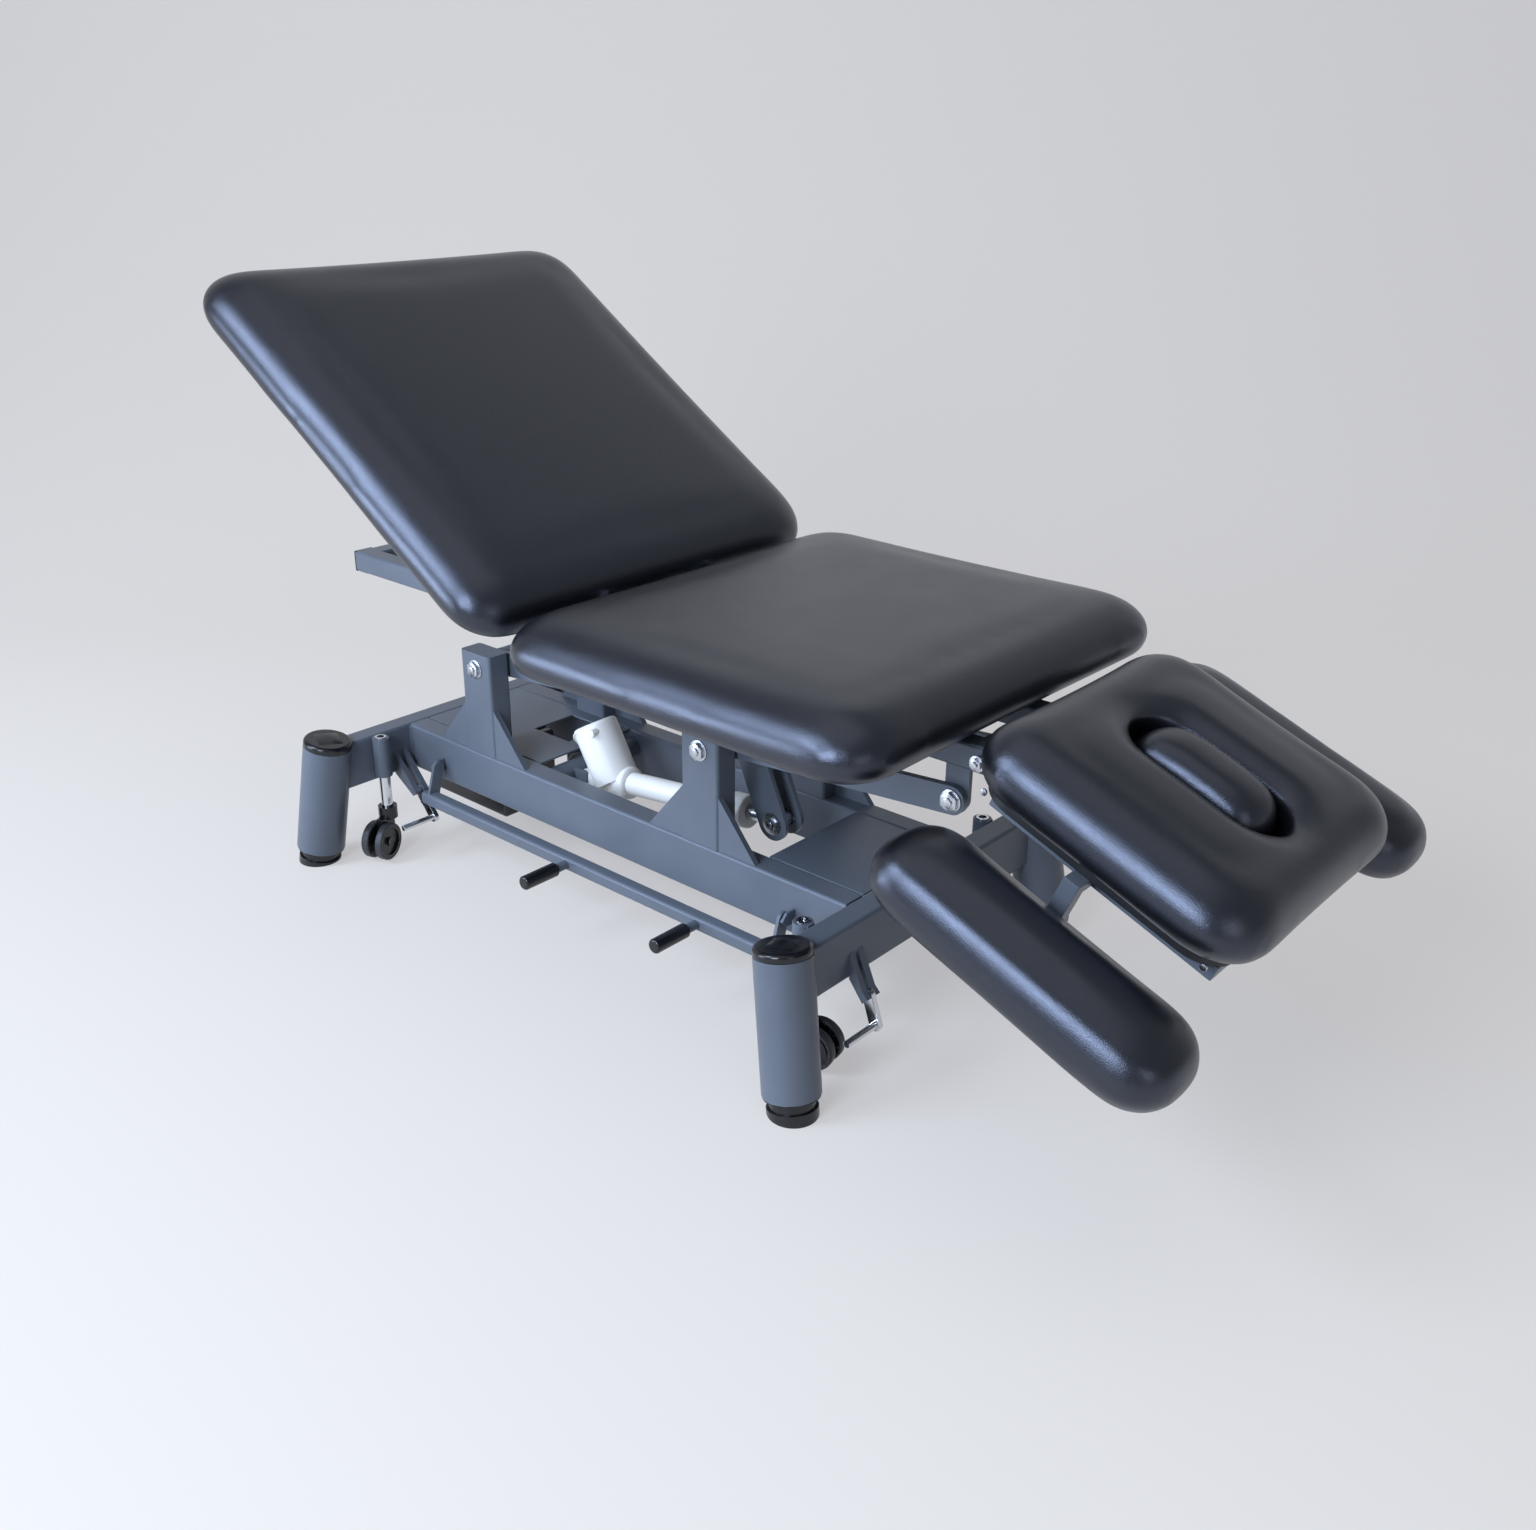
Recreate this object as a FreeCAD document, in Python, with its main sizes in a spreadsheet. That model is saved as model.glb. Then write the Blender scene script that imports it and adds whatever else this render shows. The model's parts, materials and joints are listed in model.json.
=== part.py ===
# Treatment table: padded top on a parallel-arm lift, splayed legs and retractable castors.
# X runs along the table towards the head end, Y across it, Z up. The floor is Z = 0.
import FreeCAD, Part
import math
import os
import re

from FreeCAD import Placement, Rotation, Vector

doc = FreeCAD.newDocument("TreatmentTable")
sheet = doc.addObject("Spreadsheet::Sheet", "Sizes")

# Driving dimensions, in millimetres and degrees
SIZES = (
    ("base_x", -229.3, "middle of the base along X, so that the whole table is centred"),
    ("rail_length", 1072.0, "length of a base rail"),
    ("rail_width", 45.0, "width of rails, beams and posts"),
    ("rail_height", 90.0, "height of rails and beams"),
    ("rail_top", 241.0, "height of the rails' top face"),
    ("rail_spread", 314.0, "outer width over both rails"),
    ("tube_wall", 3.0, "wall of the frame tubes"),
    ("tube_corner", 6.0, "outer corner radius of the frame tubes"),
    ("leg_diameter", 89.0, "leg tube"),
    ("leg_wall", 4.0, "leg tube wall"),
    ("leg_spread", 652.0, "distance across between leg tops"),
    ("splay_along", 40.0, "how far a foot stands out along the table"),
    ("splay_across", 20.0, "how far a foot stands out across the table"),
    ("cap_height", 14.0, "leg cap"),
    ("cap_chamfer", 7.0, "bevel round the leg cap"),
    ("foot_height", 30.0, "foot under a leg"),
    ("foot_diameter", 78.0, "foot ring"),
    ("foot_step", 12.0, "height of the foot's lower ring"),
    ("foot_recess", 4.0, "how far the foot's neck stands in from its ring"),
    ("foot_flange", 3.0, "foot's flange under the leg tube"),
    ("foot_flange_inset", 1.0, "how far that flange stands in from the leg's skin"),
    ("post_width", 80.0, "post, along the table"),
    ("post_top", 436.0, "height of the posts"),
    ("post_back_inset", 217.0, "back posts' middle from the rails' back end"),
    ("post_head_inset", 301.0, "head posts' middle from the rails' head end"),
    ("post_back", "=-rail_length / 2 + post_back_inset", "back posts' middle along X"),
    ("post_head", "=rail_length / 2 - post_head_inset", "head posts' middle along X"),
    ("gusset_width", 78.0, "gusset along the rail"),
    ("gusset_height", 92.0, "gusset up the post"),
    ("gusset_thick", 10.0, "gusset plate"),
    ("pivot_height", 406.0, "lift pivots"),
    ("pin_radius", 8.0, "lift pivot bolts"),
    ("running_gap", 0.05, "radial clearance of pins and shafts"),
    ("side_gap", 0.4, "clearance between parts that pass each other"),
    ("bolt_head_radius", 13.0, "bolt heads"),
    ("bolt_head_height", 8.0, "bolt heads"),
    ("arm_length", 446.0, "lift arm between its pivots"),
    ("arm_angle", 4.6, "lift arms' slope at rest"),
    ("arm_radius", 22.0, "half the height of a lift arm"),
    ("arm_thick", 12.0, "lift arm plate"),
    ("arm_gap", 4.0, "space between post and lift arm"),
    ("torque_radius", 24.0, "torque tube between a pair of arms"),
    ("torque_wall", 4.0, "torque tube wall"),
    ("frame_width", 220.0, "upper frame, across"),
    ("frame_tube", 40.0, "upper frame tube"),
    ("frame_top", 536.0, "upper frame's top face"),
    ("frame_reach", 735.0, "upper frame's back end from the middle of the base"),
    ("frame_beyond", 16.0, "upper frame's head end beyond the head hinge"),
    ("clevis_thick", 8.0, "plates that carry the lift arms' ends"),
    ("clevis_radius", 20.0, "rounded end of those plates"),
    ("hinge_radius", 9.0, "hinge eyes"),
    ("hinge_thick", 10.0, "hinge plates"),
    ("hinge_pin", 5.0, "hinge pin radius"),
    ("back_axis", 20.0, "back hinge along X"),
    ("back_tilt", 32.8, "back section's slope at rest"),
    ("back_length", 852.0, "back pad"),
    ("back_start", 10.0, "back pad's start from its hinge"),
    ("head_axis_height", 516.0, "head hinge height"),
    ("head_tilt", 22.0, "head section's drop at rest"),
    ("head_length", 438.0, "head pad"),
    ("head_start", 20.0, "head pad's start from its hinge"),
    ("head_rise", 18.0, "how far the head board stands above the upper frame's level"),
    ("head_bar_thick", 8.0, "head frame's flat bars"),
    ("head_bar_height", 22.0, "head frame's flat bars"),
    ("head_bar_margin", 51.0, "head frame's side bars inside the head pad's edge"),
    ("table_width", 800.0, "seat and back pads"),
    ("seat_length", 703.0, "seat pad"),
    ("seat_start", 10.0, "seat pad's start from the back hinge"),
    ("head_gap", 7.0, "seat pad's end beyond the head hinge"),
    ("head_axis", "=back_axis + seat_start + seat_length - head_gap", "head hinge along X"),
    ("frame_back", "=-frame_reach", "upper frame's back end along X"),
    ("frame_head", "=head_axis + frame_beyond", "upper frame's head end along X"),
    ("pad_thick", 98.0, "pads, crown included"),
    ("pad_corner", 84.0, "plan radius of the pads' corners"),
    ("pad_waist", 4.0, "how far a pad's sides draw in between its corners"),
    ("board_thick", 14.0, "plywood board under a pad"),
    ("board_inset", 56.0, "board's margin inside the seat and back pads"),
    ("head_board_inset", 28.0, "board's margin inside the head pad"),
    ("lay_gap", 1.0, "space left under the back board when it lies flat"),
    ("hole_length", 236.0, "face opening along the head"),
    ("hole_width", 104.0, "face opening across the head"),
    ("hole_middle", 248.0, "face opening's middle from the head hinge"),
    ("plug_gap", 2.0, "space round the face plug"),
    ("plug_ledge", 14.0, "how far the head board stands in under the plug"),
    ("plug_rise", 7.0, "how far the face plug stands above the pad"),
    ("plug_flat", 0.5, "straight part left in the plug's round ends"),
    ("armrest_length", 465.0, "armrest pad"),
    ("armrest_width", 160.0, "armrest pad"),
    ("armrest_side_gap", 4.0, "armrest pad beside the head pad"),
    ("armrest_overhang", 14.0, "armrest pad beyond the seat's side"),
    ("head_width", "=table_width - 2 * (armrest_width + armrest_side_gap - armrest_overhang)", "head pad"),
    ("head_bar_spread", "=head_width - 2 * head_bar_margin", "outer width over the head frame's side bars"),
    ("armrest_start", 25.0, "armrest pad's start from the head hinge"),
    ("armrest_drop", 122.0, "how far the near armrest hangs below the head pad"),
    ("far_armrest_raise", 50.0, "how far the far armrest stands above the near one"),
    ("armrest_travel", 100.0, "how far an armrest slides on its post"),
    ("armrest_corner", 68.0, "plan radius of the armrest's corners"),
    ("armrest_waist", 1.0, "how far an armrest's sides draw in"),
    ("armrest_post", 24.0, "square post that carries an armrest"),
    ("armrest_post_place", 230.0, "armrest post from the head hinge"),
    ("armrest_post_length", 150.0, "armrest post below the head frame"),
    ("sleeve_wall", 4.0, "wall of the armrest's sleeve"),
    ("sleeve_height", 44.0, "armrest's sleeve"),
    ("sleeve_spare", 2.0, "space over the sleeve when the armrest is up"),
    ("bracket_thick", 8.0, "armrest bracket plates"),
    ("castor_across", 236.0, "castor stems from the middle"),
    ("stem_radius", 11.0, "castor stem"),
    ("stem_top", 243.0, "top of a castor stem"),
    ("socket_radius", 16.0, "socket that guides a castor stem"),
    ("socket_height", 78.0, "socket that guides a castor stem"),
    ("wheel_radius", 36.0, "castor wheel"),
    ("wheel_width", 15.0, "one of the twin wheels"),
    ("wheel_lift", 3.0, "wheels above the floor when drawn up"),
    ("wheel_recess", 4.0, "dish in a wheel's outer face"),
    ("wheel_edge", 3.2, "rounding of a wheel's tread"),
    ("dish_radius", 26.0, "dish in a wheel's outer face"),
    ("boss_radius", 9.0, "boss in the middle of the dish"),
    ("castor_trail", 30.0, "axle behind the stem"),
    ("yoke_width", 14.0, "yoke between the twin wheels"),
    ("yoke_clear", 9.0, "how far the yoke is cut away behind the stem"),
    ("collar_radius", 18.0, "castor collar"),
    ("collar_height", 24.0, "castor collar"),
    ("collar_gap", 1.2, "castor collar above the wheels"),
    ("axle_radius", 5.0, "castor axle"),
    ("bar_tube", 25.0, "foot bar's square tube"),
    ("bar_inset", 86.0, "foot bar's end from the rail's end"),
    ("bar_length", "=rail_length - 2 * bar_inset", "foot bar"),
    ("bar_top", 140.0, "foot bar's top face"),
    ("bar_across", 194.0, "foot bar's middle from the middle of the table"),
    ("bar_pivot_height", 186.0, "foot bar's pivot"),
    ("bar_pivot_across", 176.0, "foot bar's pivot from the middle of the table"),
    ("hanger_radius", 12.0, "half the width of a foot bar hanger"),
    ("hanger_thick", 6.0, "foot bar hanger"),
    ("hanger_inset", 20.0, "hanger from the bar's end"),
    ("peg_back", -40.0, "back peg of a foot bar"),
    ("peg_head", 272.0, "head peg of a foot bar"),
    ("peg_length", 96.0, "foot peg"),
    ("peg_radius", 8.0, "foot peg rod"),
    ("grip_radius", 12.5, "grip on a foot peg"),
    ("grip_length", 70.0, "grip on a foot peg"),
    ("pedal_across", 185.0, "castor pedals from the middle"),
    ("pedal_pivot_height", 128.0, "castor pedal's pivot"),
    ("back_pedal_reach", 52.0, "back castor pedal's pivot from its beam"),
    ("head_pedal_reach", 26.0, "head castor pedal's pivot from its beam"),
    ("pedal_drop", 46.0, "castor pedal below its pivot"),
    ("back_pedal_run", 40.0, "back castor pedal beyond its pivot"),
    ("head_pedal_run", 16.0, "head castor pedal beyond its pivot"),
    ("pedal_thick", 10.0, "castor pedal lever"),
    ("tread_length", 72.0, "rod that a foot presses on a castor pedal"),
    ("tread_radius", 6.0, "rod that a foot presses on a castor pedal"),
    ("drive_across", -30.0, "lift drive's plane"),
    ("drive_back", -160.0, "lift drive's rear pivot along X"),
    ("drive_height", 206.0, "lift drive's rear pivot height"),
    ("lever_along", 65.0, "lift lever's pin ahead of its pivot"),
    ("lever_drop", 144.0, "lift lever's pin below its pivot"),
    ("lever_radius", 30.0, "rounded end of the lift lever"),
    ("lever_thick", 8.0, "lift lever plates"),
    ("lever_gap", 30.0, "space between the lift lever plates"),
    ("lever_window", 16.0, "radius of the opening round the drive's pin"),
    ("drive_pin", 6.0, "drive pins"),
    ("drive_eye_radius", 13.2, "drive's rear eye and the lugs beside it"),
    ("motor_radius", 41.0, "drive motor housing"),
    ("motor_length", 112.0, "drive motor housing"),
    ("motor_lean", 24.0, "how far the motor leans back from upright"),
    ("gearbox_length", 92.0, "drive gearbox"),
    ("gearbox_radius", 30.0, "drive gearbox"),
    ("motor_place", 50.6, "motor along the gearbox"),
    ("cylinder_radius", 21.0, "drive's outer tube"),
    ("cylinder_end", 396.0, "drive's outer tube end from its rear pivot"),
    ("flange_radius", 29.0, "collar at the tube's end"),
    ("flange_length", 40.0, "collar at the tube's end"),
    ("rod_radius", 13.0, "drive's push rod"),
    ("rod_eye_radius", 13.5, "eye at the push rod's end"),
    ("rod_inside", 230.0, "push rod's length inside the tube"),
    ("crossbar_radius", 20.0, "tube that carries the drive"),
    ("plate_thick", 4.0, "sheets between the rails"),
    ("back_sheet_length", 330.0, "sheet at the back end"),
    ("head_sheet_length", 190.0, "sheet at the head end"),
    ("sheet_window", 96.0, "window in the back sheet"),
    ("window_margin", 38.0, "window from the back sheet's head edge"),
    ("window_across", 10.0, "how far the window reaches past the middle"),
    ("box_length", 214.0, "control box"),
    ("box_width", 130.0, "control box"),
    ("box_bottom", 92.0, "control box's underside"),
    ("box_corner", 6.0, "control box's edges"),
    ("box_across", 20.0, "how far the control box reaches past the middle"),
)
for row, (alias, value, note) in enumerate(SIZES, start=1):
    sheet.set(f"A{row}", note)
    sheet.set(f"B{row}", str(value))
    sheet.setAlias(f"B{row}", alias)
doc.recompute()
size = {alias: float(sheet.get(alias)) for alias, value, note in SIZES}
WORD = re.compile(r"[a-z_]+")
NEAR, FAR = -1, 1
SIDES = {"near": NEAR, "far": FAR}
UP_X = Rotation(Vector(0, 1, 0), 90)
UP_Y = Rotation(Vector(1, 0, 0), -90)
STRAIGHT = Rotation()
AXES = {"x": UP_X, "y": UP_Y, "z": STRAIGHT}
nodes = {}


def bound(text):
    """Turn a formula of size names into one that reads the sheet."""
    return WORD.sub(lambda word: f"Sizes.{word.group()}" if word.group() in size else word.group(), str(text))


def value_of(text):
    """Work out a formula of size names as a number."""
    total = doc.addObject("App::FeaturePython", "Formula")
    total.addProperty("App::PropertyFloat", "Value")
    total.setExpression("Value", bound(text))
    total.recompute()
    result = total.Value
    doc.removeObject(total.Name)
    return result


def bind(thing, **formulas):
    for name, text in formulas.items():
        thing.setExpression(name, bound(text))
    return thing


def put(thing, place):
    """Tie an object's place to the sheet. All places are measured from the middle of the base."""
    thing.setExpression("Placement.Base.x", bound(f"{place[0]} + base_x"))
    thing.setExpression("Placement.Base.y", bound(place[1]))
    thing.setExpression("Placement.Base.z", bound(place[2]))
    return thing


def block(name, span, corner):
    box = doc.addObject("Part::Box", name)
    bind(box, Length=span[0], Width=span[1], Height=span[2])
    return put(box, corner)


def rod(name, radius, length, start, axis):
    bar = doc.addObject("Part::Cylinder", name)
    bind(bar, Radius=radius, Height=length)
    bar.Placement = Placement(Vector(), AXES[axis])
    return put(bar, start)


def fuse(name, pieces):
    whole = doc.addObject("Part::MultiFuse", name)
    whole.Shapes = pieces
    whole.Refine = True
    return whole


def cut(name, base, tools):
    rest = doc.addObject("Part::Cut", name)
    rest.Base = base
    rest.Tool = tools[0] if len(tools) == 1 else fuse(name + "_tools", tools)
    rest.Refine = True
    return rest


def rounded(name, base, radius, wanted):
    """Round those edges of an object that the given test picks."""
    doc.recompute()
    round_off = doc.addObject("Part::Fillet", name)
    round_off.Base = base
    picked = [n for n, edge in enumerate(base.Shape.Edges, start=1) if wanted(edge)]
    round_off.Edges = [(n, radius, radius) for n in picked]
    return round_off


def runs_along(axis):
    direction = AXES[axis].multVec(Vector(0, 0, 1))
    nearly_parallel = 0.99
    return lambda edge: abs(edge.tangentAt(edge.FirstParameter).dot(direction)) > nearly_parallel


def tube(name, span, corner, axis):
    """Square or flat-sided tube with rounded long edges, open at both ends."""
    stock = block(name + "_stock", span, corner)
    outer = rounded(name + "_outer", stock, size["tube_corner"], runs_along(axis))
    walls = ["0" if letter == axis else "tube_wall" for letter in "xyz"]
    inner_span = [f"{length} - 2 * {wall}" for length, wall in zip(span, walls)]
    inner_corner = [f"{place} + {wall}" for place, wall in zip(corner, walls)]
    return cut(name, outer, [block(name + "_hollow", inner_span, inner_corner)])


def closed_wire(sketch, start, end, radius):
    """Draw the outline of a flat link: two half circles joined by straight sides."""
    slope = math.atan2(end[1] - start[1], end[0] - start[0])
    normal = Vector(0, 0, 1)
    quarter = math.pi / 2
    for centre, turn in ((start, slope + quarter), (end, slope - quarter)):
        circle = Part.Circle(Vector(centre[0], centre[1], 0), normal, radius)
        sketch.addGeometry(Part.ArcOfCircle(circle, turn, turn + math.pi), False)
    side = Vector(-math.sin(slope), math.cos(slope), 0) * radius
    for way in (1, -1):
        first = Vector(start[0], start[1], 0) + side * way
        last = Vector(end[0], end[1], 0) + side * way
        sketch.addGeometry(Part.LineSegment(first, last), False)


def flat_plate(name, draw, thickness, middle, plane="XZ"):
    """A plate cut to an outline in an upright plane, with its middle at the given distance."""
    body = doc.addObject("PartDesign::Body", name)
    sketch = body.newObject("Sketcher::SketchObject", name + "_outline")
    origin = next(item for item in body.Origin.OriginFeatures if item.Role == plane + "_Plane")
    sketch.AttachmentSupport = (origin, "")
    sketch.MapMode = "FlatFace"
    draw(sketch)
    pad = body.newObject("PartDesign::Pad", name + "_plate")
    pad.Profile = sketch
    pad.Midplane = True
    bind(pad, Length=thickness)
    return put(body, ("0", middle, "0") if plane == "XZ" else (middle, "0", "0"))


def link(name, start, end, radius, thickness, middle, holes=(), plane="XZ"):
    """A flat link between two points, with round ends and holes given as centre and radius."""
    def draw(sketch):
        closed_wire(sketch, start, end, radius)
        for centre, bore in holes:
            circle = Part.Circle(Vector(centre[0], centre[1], 0), Vector(0, 0, 1), bore)
            sketch.addGeometry(circle, False)
    return flat_plate(name, draw, thickness, middle, plane)


def polygon(name, points, thickness, middle, plane="XZ"):
    def draw(sketch):
        for here, there in zip(points, points[1:] + points[:1]):
            sketch.addGeometry(Part.LineSegment(Vector(*here, 0), Vector(*there, 0)), False)
    return flat_plate(name, draw, thickness, middle, plane)


def keep(label, thing):
    thing.Label = label
    nodes[label] = thing
    return thing


def keep_group(label, things):
    group = doc.addObject("Part::Compound", label + "_group")
    group.Links = things
    return keep(label, group)


half_rail = size["rail_length"] / 2
pin_hole = size["pin_radius"] + size["running_gap"]

# Base rails and end beams
for side_name, side in SIDES.items():
    edge = "-rail_spread / 2" if side == NEAR else "rail_spread / 2 - rail_width"
    rail = tube(f"{side_name}_rail_tube", ("rail_length", "rail_width", "rail_height"),
                ("-rail_length / 2", edge, "rail_top - rail_height"), "x")
    keep(f"{side_name}_rail", rail)

# Splayed legs with caps and feet
ENDS = {"back": -1, "head": 1}
leg_radius = size["leg_diameter"] / 2
leg_tools = {"back": [], "head": []}
caps = []
feet = []
for end_name, end in ENDS.items():
    for side_name, side in SIDES.items():
        name = f"{side_name}_{end_name}_leg"
        top = Vector(end * (half_rail + size["rail_width"] / 2) + size["base_x"],
                     side * size["leg_spread"] / 2, size["rail_top"])
        floor = top + Vector(end * size["splay_along"], side * size["splay_across"], -size["rail_top"])
        lean = Rotation(Vector(0, 0, 1), top - floor)
        rise = (top - floor).normalize()

        def leaning(part_name, radius, length, start):
            bar = doc.addObject("Part::Cylinder", part_name)
            bar.Radius = radius
            bar.Height = length
            bar.Placement = Placement(floor + rise * start, lean)
            return bar

        tall = (top - floor).Length
        hollow = leg_radius - size["leg_wall"]
        shaft = leaning(name + "_shaft", leg_radius, tall - size["foot_height"], size["foot_height"])
        bore = leaning(name + "_bore", hollow, tall, 0)
        keep(name, cut(name + "_tube", shaft, [bore]))
        leg_tools[end_name].append(leaning(name + "_seat", leg_radius, 2 * tall, -tall / 2))
        cap = leaning(name + "_cap", leg_radius, size["cap_height"], tall)
        bevel = size["cap_chamfer"]
        peak = tall + size["cap_height"] / 2
        caps.append(rounded(name + "_cap_edge", cap, bevel,
                            lambda edge: edge.Closed and (edge.CenterOfMass - floor).Length > peak))
        ring = size["foot_diameter"] / 2
        lower = leaning(name + "_foot_ring", ring, size["foot_step"] + leg_radius, -leg_radius)
        neck = leaning(name + "_foot_neck", ring - size["foot_recess"], size["foot_height"], 0)
        flange = leaning(name + "_foot_flange", leg_radius - size["foot_flange_inset"], size["foot_flange"],
                         size["foot_height"] - size["foot_flange"])
        below = doc.addObject("Part::Box", name + "_floor")
        below.Length = below.Width = 2 * size["leg_diameter"]
        below.Height = size["leg_diameter"]
        below.Placement.Base = floor - Vector(1, 1, 1) * size["leg_diameter"]
        feet.append(cut(name + "_foot", fuse(name + "_foot_stack", [lower, neck, flange]), [below]))
keep_group("leg_caps", caps)
keep_group("leg_feet", feet)

for end_name, end in ENDS.items():
    corner = "rail_length / 2" if end > 0 else "-rail_length / 2 - rail_width"
    beam = tube(f"{end_name}_beam_tube", ("rail_width", "leg_spread", "rail_height"),
                (corner, "-leg_spread / 2", "rail_top - rail_height"), "y")
    keep(f"{end_name}_beam", cut(f"{end_name}_beam_ends", beam, leg_tools[end_name]))

# Posts with gussets, and the bolts that carry the lift arms
bolts = []
inner_face = "rail_spread / 2 - rail_width"
for post_name, place in (("back", "post_back"), ("head", "post_head")):
    for side_name, side in SIDES.items():
        name = f"{side_name}_{post_name}_post"
        edge = "-rail_spread / 2" if side == NEAR else inner_face
        wall = tube(name + "_tube", ("post_width", "rail_width", "post_top - rail_top"),
                    (f"{place} - post_width / 2", edge, "rail_top"), "z")
        lid = block(name + "_lid", ("post_width - 2 * tube_wall", "rail_width - 2 * tube_wall", "tube_wall"),
                    (f"{place} - post_width / 2 + tube_wall", f"{edge} + tube_wall", "post_top - tube_wall"))
        gussets = []
        middle = f"{side} * (rail_spread / 2 - gusset_thick / 2 - tube_wall)"
        for way in (-1, 1):
            root = size[place] + way * size["post_width"] / 2
            foot = size["rail_top"]
            inside = root - way * size["tube_wall"]
            points = [(inside, foot), (root + way * size["gusset_width"], foot),
                      (root, foot + size["gusset_height"]), (inside, foot + size["gusset_height"])]
            gussets.append(polygon(f"{name}_gusset_{way + 1}", points, "gusset_thick", middle))
        hole = rod(name + "_hole", "pin_radius + running_gap", "rail_spread",
                   (place, "-rail_spread" if side == NEAR else "0", "pivot_height"), "y")
        keep(name, cut(name + "_body", fuse(name + "_welded", [wall, lid] + gussets), [hole]))
        reach = "rail_width + arm_gap + arm_thick"
        start = "-rail_spread / 2" if side == NEAR else f"rail_spread / 2 - ({reach})"
        shank = rod(name + "_shank", "pin_radius", reach, (place, start, "pivot_height"), "y")
        head_start = "-rail_spread / 2 - bolt_head_height" if side == NEAR else "rail_spread / 2"
        head = rod(name + "_bolt_head", "bolt_head_radius", "bolt_head_height",
                   (place, head_start, "pivot_height"), "y")
        bolts.append(fuse(name + "_bolt", [shank, head]))
keep_group("lift_pivot_bolts", bolts)

# Sheets between the rails
inner_width = "rail_spread - 2 * rail_width"
back_sheet = block("back_sheet", ("back_sheet_length", inner_width, "plate_thick"),
                   ("-rail_length / 2", "-rail_spread / 2 + rail_width", "rail_top - plate_thick"))
window = block("sheet_opening", ("sheet_window", "sheet_window", "3 * plate_thick"),
               ("-rail_length / 2 + back_sheet_length - sheet_window - window_margin", "-window_across",
                "rail_top - 2 * plate_thick"))
head_sheet = block("head_sheet", ("head_sheet_length", inner_width, "plate_thick"),
                   ("rail_length / 2 - head_sheet_length", "-rail_spread / 2 + rail_width",
                    "rail_top - plate_thick"))
keep_group("base_sheets", [cut("back_sheet_cut", back_sheet, [window]), head_sheet])

# Control box under the back sheet
box_stock = block("box_stock", ("box_length", "box_width", "rail_top - plate_thick - box_bottom"),
                  ("-rail_length / 2 + tube_wall", "-box_width + box_across", "box_bottom"))
keep("control_box", rounded("box_edges", box_stock, size["box_corner"], lambda edge: True))

# Lift arms: a pair of flat arms on a torque tube at each pair of posts
arm_slope = math.radians(size["arm_angle"])
arm_run = Vector(math.cos(arm_slope), math.sin(arm_slope), 0) * size["arm_length"]
arm_middle = "(rail_spread / 2 - rail_width - arm_gap - arm_thick / 2)"
torque_half = "(rail_spread / 2 - rail_width - arm_gap - arm_thick)"
lever_pin = (size["post_head"] + size["lever_along"], size["pivot_height"] - size["lever_drop"])
for post_name, place in (("back", "post_back"), ("head", "post_head")):
    pivot = (size[place], size["pivot_height"])
    far_end = (pivot[0] + arm_run.x, pivot[1] + arm_run.y)
    pieces = []
    for side_name, side in SIDES.items():
        pieces.append(link(f"{side_name}_{post_name}_arm", pivot, far_end, size["arm_radius"], "arm_thick",
                           f"{side} * {arm_middle}", [(pivot, pin_hole), (far_end, pin_hole)]))
    outer = rod(f"{post_name}_torque", "torque_radius", f"2 * {torque_half}",
                (place, f"-{torque_half}", "pivot_height"), "y")
    inner = rod(f"{post_name}_torque_bore", "torque_radius - torque_wall", f"2 * {torque_half}",
                (place, f"-{torque_half}", "pivot_height"), "y")
    if post_name == "head":
        levers = [outer]
        for way in (-1, 1):
            middle = f"drive_across + {way} * (lever_gap + lever_thick) / 2"
            levers.append(link(f"lever_{way + 1}", pivot, lever_pin, size["lever_radius"], "lever_thick",
                               middle, [(lever_pin, size["lever_window"])]))
        outer = fuse("head_torque_levers", levers)
    keep(f"{post_name}_lift_arms", fuse(f"{post_name}_arms", pieces + [cut(f"{post_name}_torque_tube",
                                                                         outer, [inner])]))

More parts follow.
